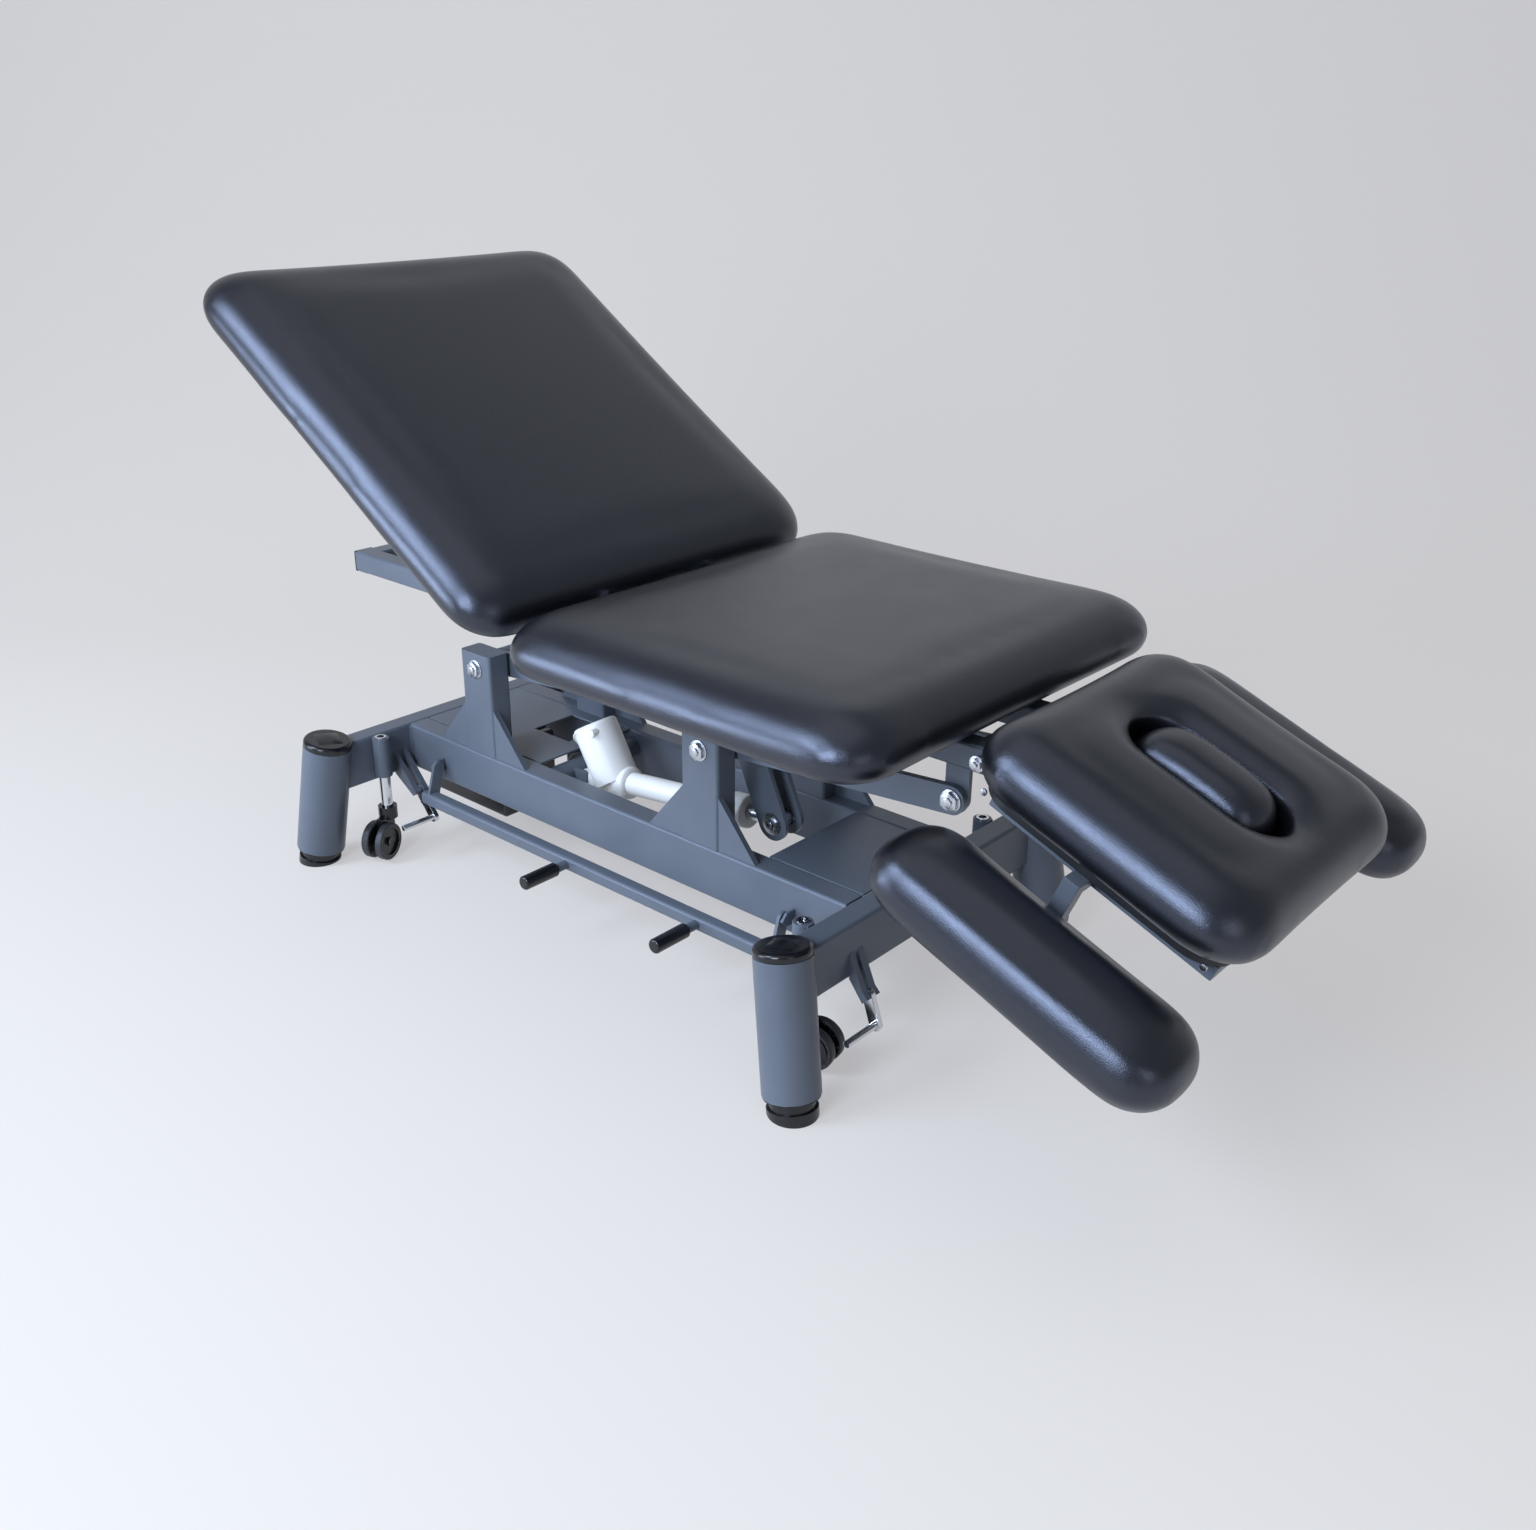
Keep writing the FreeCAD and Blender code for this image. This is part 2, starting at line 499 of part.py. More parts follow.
# Upper frame: tubes, plates for the lift arms' ends, hinge plates and their pins
tube_low = "frame_top - frame_tube"
frame_pieces = []
frame_pins = []
for side_name, side in SIDES.items():
    edge = "-frame_width / 2" if side == NEAR else "frame_width / 2 - frame_tube"
    frame_span = ("frame_head - frame_back", "frame_tube", "frame_tube")
    frame_pieces.append(tube(f"{side_name}_frame_tube", frame_span, ("frame_back", edge, tube_low), "x"))
    clevis_middle = f"({torque_half} - side_gap - clevis_thick / 2)"
    for post_name, place in (("back", "post_back"), ("head", "post_head")):
        end = (size[place] + arm_run.x, size["pivot_height"] + arm_run.y)
        root = (end[0], size["frame_top"] - size["frame_tube"])
        name = f"{side_name}_{post_name}_clevis"
        frame_pieces.append(link(name, root, end, size["clevis_radius"], "clevis_thick",
                                 f"{side} * {clevis_middle}"))
        span = "clevis_thick + side_gap + arm_thick + side_gap"
        inner_start = f"({torque_half} - side_gap - clevis_thick)"
        start = inner_start if side == FAR else f"-{inner_start} - ({span})"
        frame_pins.append(rod(name + "_pin", "pin_radius", span, (str(end[0]), start, str(end[1])), "y"))
        near_head = f"-{inner_start} - ({span}) - bolt_head_height"
        head_start = f"{inner_start} + {span}" if side == FAR else near_head
        frame_pins.append(rod(name + "_head", "bolt_head_radius", "bolt_head_height",
                              (str(end[0]), head_start, str(end[1])), "y"))
    plate_middle = f"{side} * (frame_width / 2 - hinge_thick / 2)"
    pad_middle_height = size["frame_top"] + size["board_thick"] + size["pad_thick"] / 2
    hinge_points = {"back": (size["back_axis"], pad_middle_height),
                    "head": (size["head_axis"], size["head_axis_height"])}
    for hinge_name, axis_point in hinge_points.items():
        if hinge_name == "back":
            root = (axis_point[0], size["frame_top"] - size["frame_tube"] / 2)
            frame_pieces.append(link(f"{side_name}_{hinge_name}_hinge", root, axis_point,
                                     size["hinge_radius"], "hinge_thick", plate_middle))
        reach = "2 * hinge_thick + side_gap"
        near_start = "-frame_width / 2 - hinge_thick - side_gap"
        start = "frame_width / 2 - hinge_thick" if side == FAR else near_start
        frame_pins.append(rod(f"{side_name}_{hinge_name}_pin", "hinge_pin", reach,
                              (str(axis_point[0]), start, str(axis_point[1])), "y"))
for number, start in enumerate(("frame_back", "post_head", "frame_head - frame_tube")):
    cross_span = ("frame_tube", "frame_width - 2 * tube_wall", "frame_tube")
    frame_pieces.append(tube(f"cross_tube_{number}", cross_span,
                             (start, "-frame_width / 2 + tube_wall", tube_low), "y"))
keep("upper_frame", fuse("frame_welded", frame_pieces + frame_pins))


def outline(length, width, corner, waist, level):
    """Closed outline of a pad at one level: long shallow sides joined by round corners."""
    half_x = length / 2
    half_y = width / 2
    inner_x = half_x - corner
    inner_y = half_y - corner
    slant = corner * math.sqrt(0.5)
    corners = ((1, 1), (-1, 1), (-1, -1), (1, -1))
    edges = []
    for number, (way_x, way_y) in enumerate(corners):
        across = Vector(way_x * half_x, way_y * inner_y, level)
        along = Vector(way_x * inner_x, way_y * half_y, level)
        turn = Vector(way_x * (inner_x + slant), way_y * (inner_y + slant), level)
        first, last = (across, along) if way_x == way_y else (along, across)
        edges.append(Part.Arc(first, turn, last).toShape())
        next_x, next_y = corners[(number + 1) % len(corners)]
        if next_y == way_y:
            middle = Vector(0, way_y * (half_y - waist), level)
            end = Vector(next_x * inner_x, way_y * half_y, level)
        else:
            middle = Vector(way_x * (half_x - waist), 0, level)
            end = Vector(way_x * half_x, next_y * inner_y, level)
        edges.append(Part.Arc(last, middle, end).toShape())
    return Part.Wire(edges)


# Share of the pad's half thickness that each level stands in, and its share of the height
PAD_LEVELS = ((0.46, 0.0), (0.12, 0.2), (0.0, 0.45), (0.1, 0.68), (0.42, 0.88), (1.0, 0.975), (2.0, 1.0))


MOST_INSET = 0.3
MOST_BEND = 0.48
STRAIGHT_WAIST = 0.01


def pad_shape(length, width, thickness, corner, waist):
    """Crowned cushion, centred over the origin, with its flat underside at zero."""
    wires = []
    for inset_share, height_share in PAD_LEVELS:
        inset = min(inset_share * thickness / 2, width * MOST_INSET)
        bend = min(corner - inset / 2, MOST_BEND * (width - 2 * inset))
        wires.append(outline(length - 2 * inset, width - 2 * inset, bend, waist, height_share * thickness))
    return Part.makeLoft(wires, True, False)


def feature(label, shape, placement):
    thing = doc.addObject("Part::Feature", label + "_form")
    thing.Shape = shape
    thing.Placement = placement
    return keep(label, thing)


def board_shape(length, width, thickness, inset, corner):
    wire = outline(length - 2 * inset, width - 2 * inset, corner, STRAIGHT_WAIST, 0)
    return Part.Face(wire).extrude(Vector(0, 0, thickness))


def section(axis_x, axis_z, tilt):
    """Place of a tilted section: its hinge, turned about Y."""
    return Placement(Vector(axis_x + size["base_x"], 0, axis_z), Rotation(Vector(0, 1, 0), tilt))


def moved(placement, offset):
    return placement.multiply(Placement(offset, STRAIGHT))


# Seat
pad_half = size["pad_thick"] / 2
board_corner = size["pad_corner"] - size["board_inset"] / 2
level_place = section(size["back_axis"], pad_middle_height, 0)
seat_middle = size["seat_start"] + size["seat_length"] / 2
feature("seat_pad", pad_shape(size["seat_length"], size["table_width"], size["pad_thick"], size["pad_corner"],
                              size["pad_waist"]), moved(level_place, Vector(seat_middle, 0, -pad_half)))
feature("seat_board", board_shape(size["seat_length"], size["table_width"], size["board_thick"],
                                  size["board_inset"], board_corner),
        moved(level_place, Vector(seat_middle, 0, -pad_half - size["board_thick"])))

# Back section, hinged in the gap beside the seat
back_place = section(size["back_axis"], pad_middle_height, size["back_tilt"])
back_middle = -size["back_start"] - size["back_length"] / 2
feature("back_pad", pad_shape(size["back_length"], size["table_width"], size["pad_thick"], size["pad_corner"],
                              size["pad_waist"]), moved(back_place, Vector(back_middle, 0, -pad_half)))
back_board_thick = size["board_thick"] - size["lay_gap"]
feature("back_board", board_shape(size["back_length"], size["table_width"], back_board_thick,
                                  size["board_inset"], board_corner),
        moved(back_place, Vector(back_middle, 0, -pad_half - back_board_thick)))


def plate_solid(points, thickness, middle):
    """Flat plate with a straight-sided outline in X and Z, centred on a distance across."""
    wire = Part.makePolygon([Vector(x, middle - thickness / 2, z) for x, z in points + points[:1]])
    return Part.Face(wire).extrude(Vector(0, thickness, 0))


def eye(radius, thickness, middle, hole=False):
    start = Vector(0, middle - thickness / 2 - (thickness if hole else 0), 0)
    return Part.makeCylinder(radius, thickness * (3 if hole else 1), start, Vector(0, 1, 0))


hinge_hole = size["hinge_pin"] + size["running_gap"]
bracket_middle = size["frame_width"] / 2 + size["side_gap"] + size["hinge_thick"] / 2
bracket_top = -pad_half - back_board_thick
bracket_low = bracket_top - size["hinge_thick"]
bracket_reach = size["back_start"] + size["back_length"] / 2
brackets = []
eye_radius = size["hinge_radius"]
for side in SIDES.values():
    middle = side * bracket_middle
    leg = [(-eye_radius, 0), (eye_radius, 0), (eye_radius, bracket_low), (-bracket_reach, bracket_low),
           (-bracket_reach, bracket_top), (-eye_radius, bracket_top)]
    solid = plate_solid(leg, size["hinge_thick"], middle).fuse(eye(eye_radius, size["hinge_thick"], middle))
    brackets.append(solid.cut(eye(hinge_hole, size["hinge_thick"], middle, True)).removeSplitter())
feature("back_brackets", Part.makeCompound(brackets), back_place)

# Head section, hinged at the upper frame's end
head_place = section(size["head_axis"], size["head_axis_height"], size["head_tilt"])
head_low = size["frame_top"] - size["head_axis_height"] + size["head_rise"]
head_middle = size["head_start"] + size["head_length"] / 2
head_pad_low = head_low + size["board_thick"]


def oval(length, width, low, high):
    """Upright block with half-round ends."""
    straight = length - width
    box = Part.makeBox(straight, width, high - low, Vector(-straight / 2, -width / 2, low))
    ends = [Part.makeCylinder(width / 2, high - low, Vector(way * straight / 2, 0, low)) for way in (-1, 1)]
    return box.fuse(ends).removeSplitter()


head_pad = pad_shape(size["head_length"], size["head_width"], size["pad_thick"], size["pad_corner"],
                     size["pad_waist"])
hole_shift = Vector(size["hole_middle"] - head_middle, 0, 0)
opening = oval(size["hole_length"], size["hole_width"], -size["pad_thick"], 2 * size["pad_thick"])
opening.translate(hole_shift)
head_pad = head_pad.cut(opening)
feature("head_pad", head_pad, moved(head_place, Vector(head_middle, 0, head_pad_low)))
head_board = board_shape(size["head_length"], size["head_width"], size["board_thick"],
                         size["head_board_inset"], board_corner)
board_hole = oval(size["hole_length"] - 2 * size["plug_ledge"], size["hole_width"] - 2 * size["plug_ledge"],
                  -size["board_thick"], 2 * size["board_thick"])
board_hole.translate(hole_shift)
feature("head_board", head_board.cut(board_hole), moved(head_place, Vector(head_middle, 0, head_low)))


# Share of the plug's width that each level stands in, and its share of the height
PLUG_LEVELS = ((0.0, 0.0), (0.0, 0.6), (0.08, 0.85), (0.3, 1.0))


def plug_shape(length, width, thickness):
    """Crowned oval plug: the opening's outline with its upper edge rolled in."""
    wires = []
    for inset_share, height_share in PLUG_LEVELS:
        inset = inset_share * width
        wires.append(outline(length - 2 * inset, width - 2 * inset, width / 2 - inset - size["plug_flat"],
                             STRAIGHT_WAIST, height_share * thickness))
    return Part.makeLoft(wires, True, False)


plug_length = size["hole_length"] - 2 * size["plug_gap"]
plug_width = size["hole_width"] - 2 * size["plug_gap"]
feature("face_plug", plug_shape(plug_length, plug_width, size["pad_thick"] + size["plug_rise"]),
        moved(head_place, Vector(size["hole_middle"], 0, head_pad_low)))

bar_half = size["head_bar_height"] / 2
bar_shift = head_low - bar_half
cross_near = size["head_start"] + size["head_board_inset"] + size["head_bar_height"]
cross_far = size["head_start"] + size["head_length"] - 2 * size["head_board_inset"]
bar_end = cross_far + size["head_bar_height"]
post_side = size["armrest_post"]
post_across = size["head_width"] / 2 - post_side / 2 - size["tube_wall"]
outrigger_low = head_low - size["head_bar_height"] + size["tube_wall"]
frame_solids = []
for side in SIDES.values():
    middle = side * bracket_middle
    hinge_bar = Part.makeBox(cross_near + size["head_bar_height"], size["hinge_thick"],
                             size["head_bar_height"],
                             Vector(0, middle - size["hinge_thick"] / 2, bar_shift - bar_half))
    frame_solids.append(hinge_bar.fuse(eye(eye_radius, size["hinge_thick"], middle)))
    side_middle = side * (size["head_bar_spread"] - size["head_bar_thick"]) / 2
    frame_solids.append(Part.makeBox(bar_end - cross_near, size["head_bar_thick"], size["head_bar_height"],
                                     Vector(cross_near, side_middle - size["head_bar_thick"] / 2,
                                            bar_shift - bar_half)))
    post_middle = side * post_across
    post = Part.makeBox(post_side, post_side, size["armrest_post_length"],
                        Vector(size["armrest_post_place"] - post_side / 2, post_middle - post_side / 2,
                               outrigger_low - size["armrest_post_length"]))
    arm_start = min(side_middle, post_middle + side * post_side / 2)
    outrigger = Part.makeBox(post_side, abs(post_middle + side * post_side / 2 - side_middle),
                             head_low - outrigger_low,
                             Vector(size["armrest_post_place"] - post_side / 2, arm_start, outrigger_low))
    frame_solids.extend([post, outrigger])
for place in (cross_near, cross_far):
    frame_solids.append(Part.makeBox(size["head_bar_height"], size["head_bar_spread"],
                                     size["head_bar_height"],
                                     Vector(place, -size["head_bar_spread"] / 2, bar_shift - bar_half)))
head_frame = frame_solids[0].fuse(frame_solids[1:])
for side in SIDES.values():
    head_frame = head_frame.cut(eye(hinge_hole, size["hinge_thick"], side * bracket_middle, True))
feature("head_frame", head_frame.removeSplitter(), head_place)

# Armrests: each slides on a square post below the head section
armrest_middle = size["armrest_start"] + size["armrest_length"] / 2
armrest_across = (size["table_width"] - size["armrest_width"]) / 2 + size["armrest_overhang"]
raises = {"near": 0, "far": size["far_armrest_raise"]}
sleeve_inner = post_side + 2 * size["side_gap"]
sleeve_outer = sleeve_inner + 2 * size["sleeve_wall"]
for side_name, side in SIDES.items():
    armrest_low = head_pad_low - size["armrest_drop"] + raises[side_name]
    sleeve_top = outrigger_low - size["armrest_travel"] + raises[side_name] - size["sleeve_spare"]
    place = moved(head_place, Vector(armrest_middle, side * armrest_across, armrest_low))
    cushion = pad_shape(size["armrest_length"], size["armrest_width"], size["pad_thick"],
                        size["armrest_corner"], size["armrest_waist"])
    feature(f"{side_name}_armrest_pad", cushion, place)
    plate_low = armrest_low - size["bracket_thick"]
    web_inner = post_across + sleeve_outer / 2
    outer_reach = armrest_across + size["armrest_width"] / 4
    start_x = size["armrest_post_place"] - sleeve_outer / 2

    def across(low, high):
        return min(side * low, side * high)

    plate = Part.makeBox(3 * sleeve_outer, outer_reach - web_inner, size["bracket_thick"],
                         Vector(start_x - sleeve_outer, across(web_inner, outer_reach), plate_low))
    web = Part.makeBox(sleeve_outer, size["bracket_thick"], plate_low + size["bracket_thick"] - sleeve_top
                       + size["sleeve_height"],
                       Vector(start_x, across(web_inner, web_inner + size["bracket_thick"]),
                              sleeve_top - size["sleeve_height"]))
    sleeve_low = sleeve_top - size["sleeve_height"]
    sleeve = Part.makeBox(sleeve_outer, sleeve_outer, size["sleeve_height"],
                          Vector(start_x, side * post_across - sleeve_outer / 2, sleeve_low))
    slot = Part.makeBox(sleeve_inner, sleeve_inner, 2 * size["sleeve_height"],
                        Vector(size["armrest_post_place"] - sleeve_inner / 2,
                               side * post_across - sleeve_inner / 2,
                               sleeve_low - size["sleeve_height"] / 2))
    feature(f"{side_name}_armrest_bracket", plate.fuse([web, sleeve]).cut(slot).removeSplitter(), head_place)

# Castors: sockets on the beams, stems, yokes and twin wheels
castor_along = "(rail_length / 2 - socket_radius)"
axle_height = size["wheel_radius"] + size["wheel_lift"]
collar_low = axle_height + size["wheel_radius"] + size["collar_gap"]
sockets = []
CASTOR_TURNS = {"near_back": -69, "far_back": 30, "near_head": 10, "far_head": -35}
for end_name, end in ENDS.items():
    for side_name, side in SIDES.items():
        name = f"{side_name}_{end_name}"
        along = f"{end} * {castor_along}"
        across = f"{side} * castor_across"
        low = "rail_top - socket_height"
        barrel = rod(name + "_barrel", "socket_radius", "socket_height", (along, across, low), "z")
        tab_start = castor_along if end > 0 else "-rail_length / 2"
        tab = block(name + "_tab", ("socket_radius", "socket_radius", "socket_height"),
                    (tab_start, f"{across} - socket_radius / 2", low))
        guide = rod(name + "_guide", "stem_radius + running_gap", "socket_height", (along, across, low), "z")
        sockets.append(cut(name + "_socket", fuse(name + "_socket_stock", [barrel, tab]), [guide]))
        stem_low = collar_low + size["side_gap"]
        stem = rod(name + "_stem_rod", "stem_radius", f"stem_top - {stem_low}",
                   (along, across, str(stem_low)), "z")
        keep(f"{name}_castor_stem", stem)
        turn = Rotation(Vector(0, 0, 1), CASTOR_TURNS[name])
        place = Placement(Vector(value_of(along) + size["base_x"], value_of(across), 0), turn)
        arm_low = axle_height - size["axle_radius"] * 2
        collar = Part.makeCylinder(size["collar_radius"], size["collar_height"], Vector(0, 0, collar_low))
        cheek = Part.makeBox(size["castor_trail"] + size["collar_radius"], size["yoke_width"],
                             collar_low - arm_low + size["axle_radius"],
                             Vector(-size["collar_radius"], -size["yoke_width"] / 2, arm_low))
        hub = Part.makeCylinder(size["axle_radius"] * 2, size["yoke_width"],
                                Vector(size["castor_trail"], -size["yoke_width"] / 2, axle_height),
                                Vector(0, 1, 0))
        trim = Part.makeBox(size["castor_trail"], size["yoke_width"] * 2, size["wheel_radius"],
                            Vector(-size["castor_trail"] - size["yoke_clear"], -size["yoke_width"],
                                   collar_low - size["wheel_radius"] - size["axle_radius"]))
        axle_half = size["yoke_width"] / 2 + size["side_gap"] + size["wheel_width"] - size["wheel_recess"]
        axle = Part.makeCylinder(size["axle_radius"], 2 * axle_half,
                                 Vector(size["castor_trail"], -axle_half, axle_height), Vector(0, 1, 0))
        socket = Part.makeCylinder(size["stem_radius"] + size["running_gap"], size["collar_height"],
                                   Vector(0, 0, collar_low))
        yoke = cheek.cut(trim).fuse([collar, hub, axle]).cut(socket)
        feature(f"{name}_castor_yoke", yoke.removeSplitter(), place)
        wheels = []
        for way in (-1, 1):
            inner_y = size["yoke_width"] / 2 + size["side_gap"]
            centre = Vector(size["castor_trail"], way * inner_y, axle_height)
            direction = Vector(0, way, 0)
            disc = Part.makeCylinder(size["wheel_radius"], size["wheel_width"], centre, direction)
            rims = [edge for edge in disc.Edges if edge.Closed]
            disc = disc.makeFillet(size["wheel_edge"], rims)
            face = centre + direction * (size["wheel_width"] - size["wheel_recess"])
            dish = Part.makeCylinder(size["dish_radius"], size["wheel_recess"], face, direction)
            boss = Part.makeCylinder(size["boss_radius"], size["wheel_recess"], face, direction)
            bore = Part.makeCylinder(size["axle_radius"] + size["running_gap"],
                                     size["wheel_width"] - size["wheel_recess"], centre, direction)
            wheels.append(disc.cut(dish).fuse(boss).cut(bore).removeSplitter())
        feature(f"{name}_castor_wheels", Part.makeCompound(wheels), place)
keep_group("castor_sockets", sockets)

# Castor pedals: a lever with a rod to step on, hung from each beam's head-end face
pedal_ears = []
for end_name, end in ENDS.items():
    beam_face = -half_rail if end < 0 else half_rail + size["rail_width"]
    pivot = (beam_face + size[f"{end_name}_pedal_reach"], size["pedal_pivot_height"])
    beam_low = size["rail_top"] - size["rail_height"]
    ear_width = size["pedal_thick"]
    for way in (-1, 1):
        middle = f"-pedal_across + {way} * (pedal_thick + side_gap)"
        points = [(beam_face, beam_low), (beam_face, beam_low + size["rail_height"] / 2),
                  (pivot[0], pivot[1] + ear_width), (pivot[0] + ear_width, pivot[1]),
                  (pivot[0], pivot[1] - ear_width)]
        ear = polygon(f"{end_name}_ear_{way + 1}", points, "pedal_thick", middle)
        pedal_ears.append(cut(f"{end_name}_ear_{way + 1}_bored", ear,
                              [rod(f"{end_name}_ear_{way + 1}_hole", "hinge_pin", "rail_spread",
                                   (str(pivot[0]), "-rail_spread", str(pivot[1])), "y")]))
    pin_start = "-pedal_across - 3 * pedal_thick / 2 - side_gap"
    pedal_ears.append(rod(f"{end_name}_pedal_pin", "hinge_pin", "3 * pedal_thick + 2 * side_gap",
                          (str(pivot[0]), pin_start, str(pivot[1])), "y"))
    tip = (pivot[0] + size[f"{end_name}_pedal_run"], pivot[1] - size["pedal_drop"])
    lever = link(f"{end_name}_pedal_lever", pivot, tip, ear_width, "pedal_thick", "-pedal_across",
                 [(pivot, size["hinge_pin"] + size["running_gap"])])
    tread = rod(f"{end_name}_tread", "tread_radius", "tread_length",
                (str(tip[0]), "-pedal_across - tread_length", str(tip[1])), "y")
    keep(f"{end_name}_castor_pedal", fuse(f"{end_name}_pedal", [lever, tread]))
keep_group("pedal_brackets", pedal_ears)

# Foot bars: a square tube hung on two hangers beside each rail, with pegs and grips
lugs = []
for side_name, side in SIDES.items():
    middle = f"{side} * bar_across"
    bar = tube(f"{side_name}_bar_tube", ("bar_length", "bar_tube", "bar_tube"),
               ("-bar_length / 2", f"{middle} - bar_tube / 2", "bar_top - bar_tube"), "x")
    pieces = [bar]
    pivot = (side * size["bar_pivot_across"], size["bar_pivot_height"])
    foot = (side * size["bar_across"], size["bar_top"] - size["bar_tube"] / 2)
    for end_name, end in ENDS.items():
        place = f"{end} * (bar_length / 2 - hanger_inset)"
        hanger = link(f"{side_name}_{end_name}_hanger", pivot, foot, size["hanger_radius"], "hanger_thick",
                      place, [(pivot, size["hinge_pin"] + size["running_gap"])], plane="YZ")
        pieces.append(hanger)
        lug_gap = f"({end} * (bar_length / 2 - hanger_inset) + {end} * (hanger_thick + side_gap))"
        rail_face = side * size["rail_spread"] / 2
        lug_top = pivot[1] + size["hanger_radius"]
        lug_low = pivot[1] - size["hanger_radius"]
        lug_points = [(rail_face, lug_top), (pivot[0], lug_top),
                      (pivot[0] + side * size["hanger_radius"], pivot[1]),
                      (pivot[0], lug_low), (rail_face, lug_low)]
        lug = polygon(f"{side_name}_{end_name}_lug", lug_points, "hanger_thick", lug_gap, plane="YZ")
        head_pin = f"{lug_gap} - 3 * hanger_thick / 2 - side_gap"
        pin_start = f"{lug_gap} - hanger_thick / 2" if end < 0 else head_pin
        pin = rod(f"{side_name}_{end_name}_lug_pin", "hinge_pin", "2 * hanger_thick + side_gap",
                  (pin_start, str(pivot[0]), str(pivot[1])), "x")
        lugs.append(fuse(f"{side_name}_{end_name}_lug_pinned", [lug, pin]))
    grips = []
    for peg_name in ("peg_back", "peg_head"):
        near_start = f"{middle} - bar_tube / 2 + tube_wall - peg_length"
        start = f"{middle} + bar_tube / 2 - tube_wall" if side == FAR else near_start
        peg = rod(f"{side_name}_{peg_name}_rod", "peg_radius", "peg_length",
                  (peg_name, start, "bar_top - bar_tube / 2"), "y")
        pieces.append(peg)
        grip_start = f"{start} + peg_length - grip_length" if side == FAR else start
        outer_start = grip_start if side == FAR else f"{start} - tube_wall"
        outer = rod(f"{side_name}_{peg_name}_grip", "grip_radius", "grip_length + tube_wall",
                    (peg_name, outer_start, "bar_top - bar_tube / 2"), "y")
        rounded_grip = rounded(f"{side_name}_{peg_name}_grip_edges", outer, size["grip_radius"] / 3,
                               lambda edge: edge.Closed)
        core = rod(f"{side_name}_{peg_name}_core", "peg_radius", "peg_length",
                   (peg_name, start, "bar_top - bar_tube / 2"), "y")
        grips.append(cut(f"{side_name}_{peg_name}_sleeve", rounded_grip, [core]))
    keep(f"{side_name}_foot_bar", fuse(f"{side_name}_bar_welded", pieces))
    keep_group(f"{side_name}_peg_grips", grips)
keep_group("foot_bar_lugs", lugs)

# Lift drive: a motor and tube hinged on a cross tube, and a push rod to the lift lever
drive_point = Vector(size["drive_back"], size["drive_across"], size["drive_height"])
rod_point = Vector(lever_pin[0], size["drive_across"], lever_pin[1])
drive_run = rod_point - drive_point
drive_length = drive_run.Length
drive_turn = -math.degrees(math.atan2(drive_run.z, drive_run.x))
drive_place = Placement(drive_point + Vector(size["base_x"], 0, 0), Rotation(Vector(0, 1, 0), drive_turn))
ahead = Vector(1, 0, 0)
crosswise = Vector(0, 1, 0)
pin_bore = size["drive_pin"] + size["running_gap"]
gear_start = size["drive_pin"] * 3
rear_eye = Part.makeCylinder(size["drive_eye_radius"], size["gearbox_radius"],
                             Vector(0, -size["gearbox_radius"] / 2, 0), crosswise)
neck = Part.makeCylinder(size["drive_pin"] * 2, gear_start, Vector(), ahead)
gearbox = Part.makeCylinder(size["gearbox_radius"], size["gearbox_length"], Vector(gear_start, 0, 0), ahead)
gearbox = gearbox.makeFillet(size["gearbox_radius"] / 4, [edge for edge in gearbox.Edges if edge.Closed])
lean = math.radians(size["motor_lean"])
motor_way = Vector(-math.sin(lean), 0, math.cos(lean))
motor_root = Vector(gear_start + size["motor_place"], 0, 0)
motor = Part.makeCylinder(size["motor_radius"], size["motor_length"], motor_root, motor_way)
tops = [edge for edge in motor.Edges
        if edge.Closed and (edge.CenterOfMass - motor_root).Length > size["motor_radius"]]
motor = motor.makeFillet(size["motor_radius"] / 5, tops)
rear_hole = Part.makeCylinder(pin_bore, 2 * size["gearbox_radius"],
                              Vector(0, -size["gearbox_radius"], 0), crosswise)
motor_unit = gearbox.fuse([motor, rear_eye, neck]).cut(rear_hole)
feature("drive_motor", motor_unit.removeSplitter(), drive_place)
tube_start = gear_start + size["gearbox_length"]
barrel = Part.makeCylinder(size["cylinder_radius"], size["cylinder_end"] - tube_start,
                           Vector(tube_start, 0, 0), ahead)
flange = Part.makeCylinder(size["flange_radius"], size["flange_length"],
                           Vector(size["cylinder_end"] - size["flange_length"], 0, 0), ahead)
flange = flange.makeFillet(size["flange_radius"] / 6, [edge for edge in flange.Edges if edge.Closed])
hollow = Part.makeCylinder(size["rod_radius"] + size["running_gap"], size["cylinder_end"],
                           Vector(tube_start, 0, 0), ahead)
feature("drive_tube", barrel.fuse(flange).cut(hollow).removeSplitter(), drive_place)
push = Part.makeCylinder(size["rod_radius"], drive_length - size["cylinder_end"] + size["rod_inside"],
                         Vector(size["cylinder_end"] - size["rod_inside"], 0, 0), ahead)
rod_half = size["lever_gap"] / 2 - size["side_gap"] * 2
rod_eye = Part.makeCylinder(size["rod_eye_radius"], 2 * rod_half, Vector(drive_length, -rod_half, 0),
                            crosswise)
pin_half = size["lever_gap"] / 2 + size["lever_thick"]
rod_pin = Part.makeCylinder(size["drive_pin"], 2 * pin_half, Vector(drive_length, -pin_half, 0), crosswise)
feature("drive_rod", push.fuse([rod_eye, rod_pin]).removeSplitter(), drive_place)

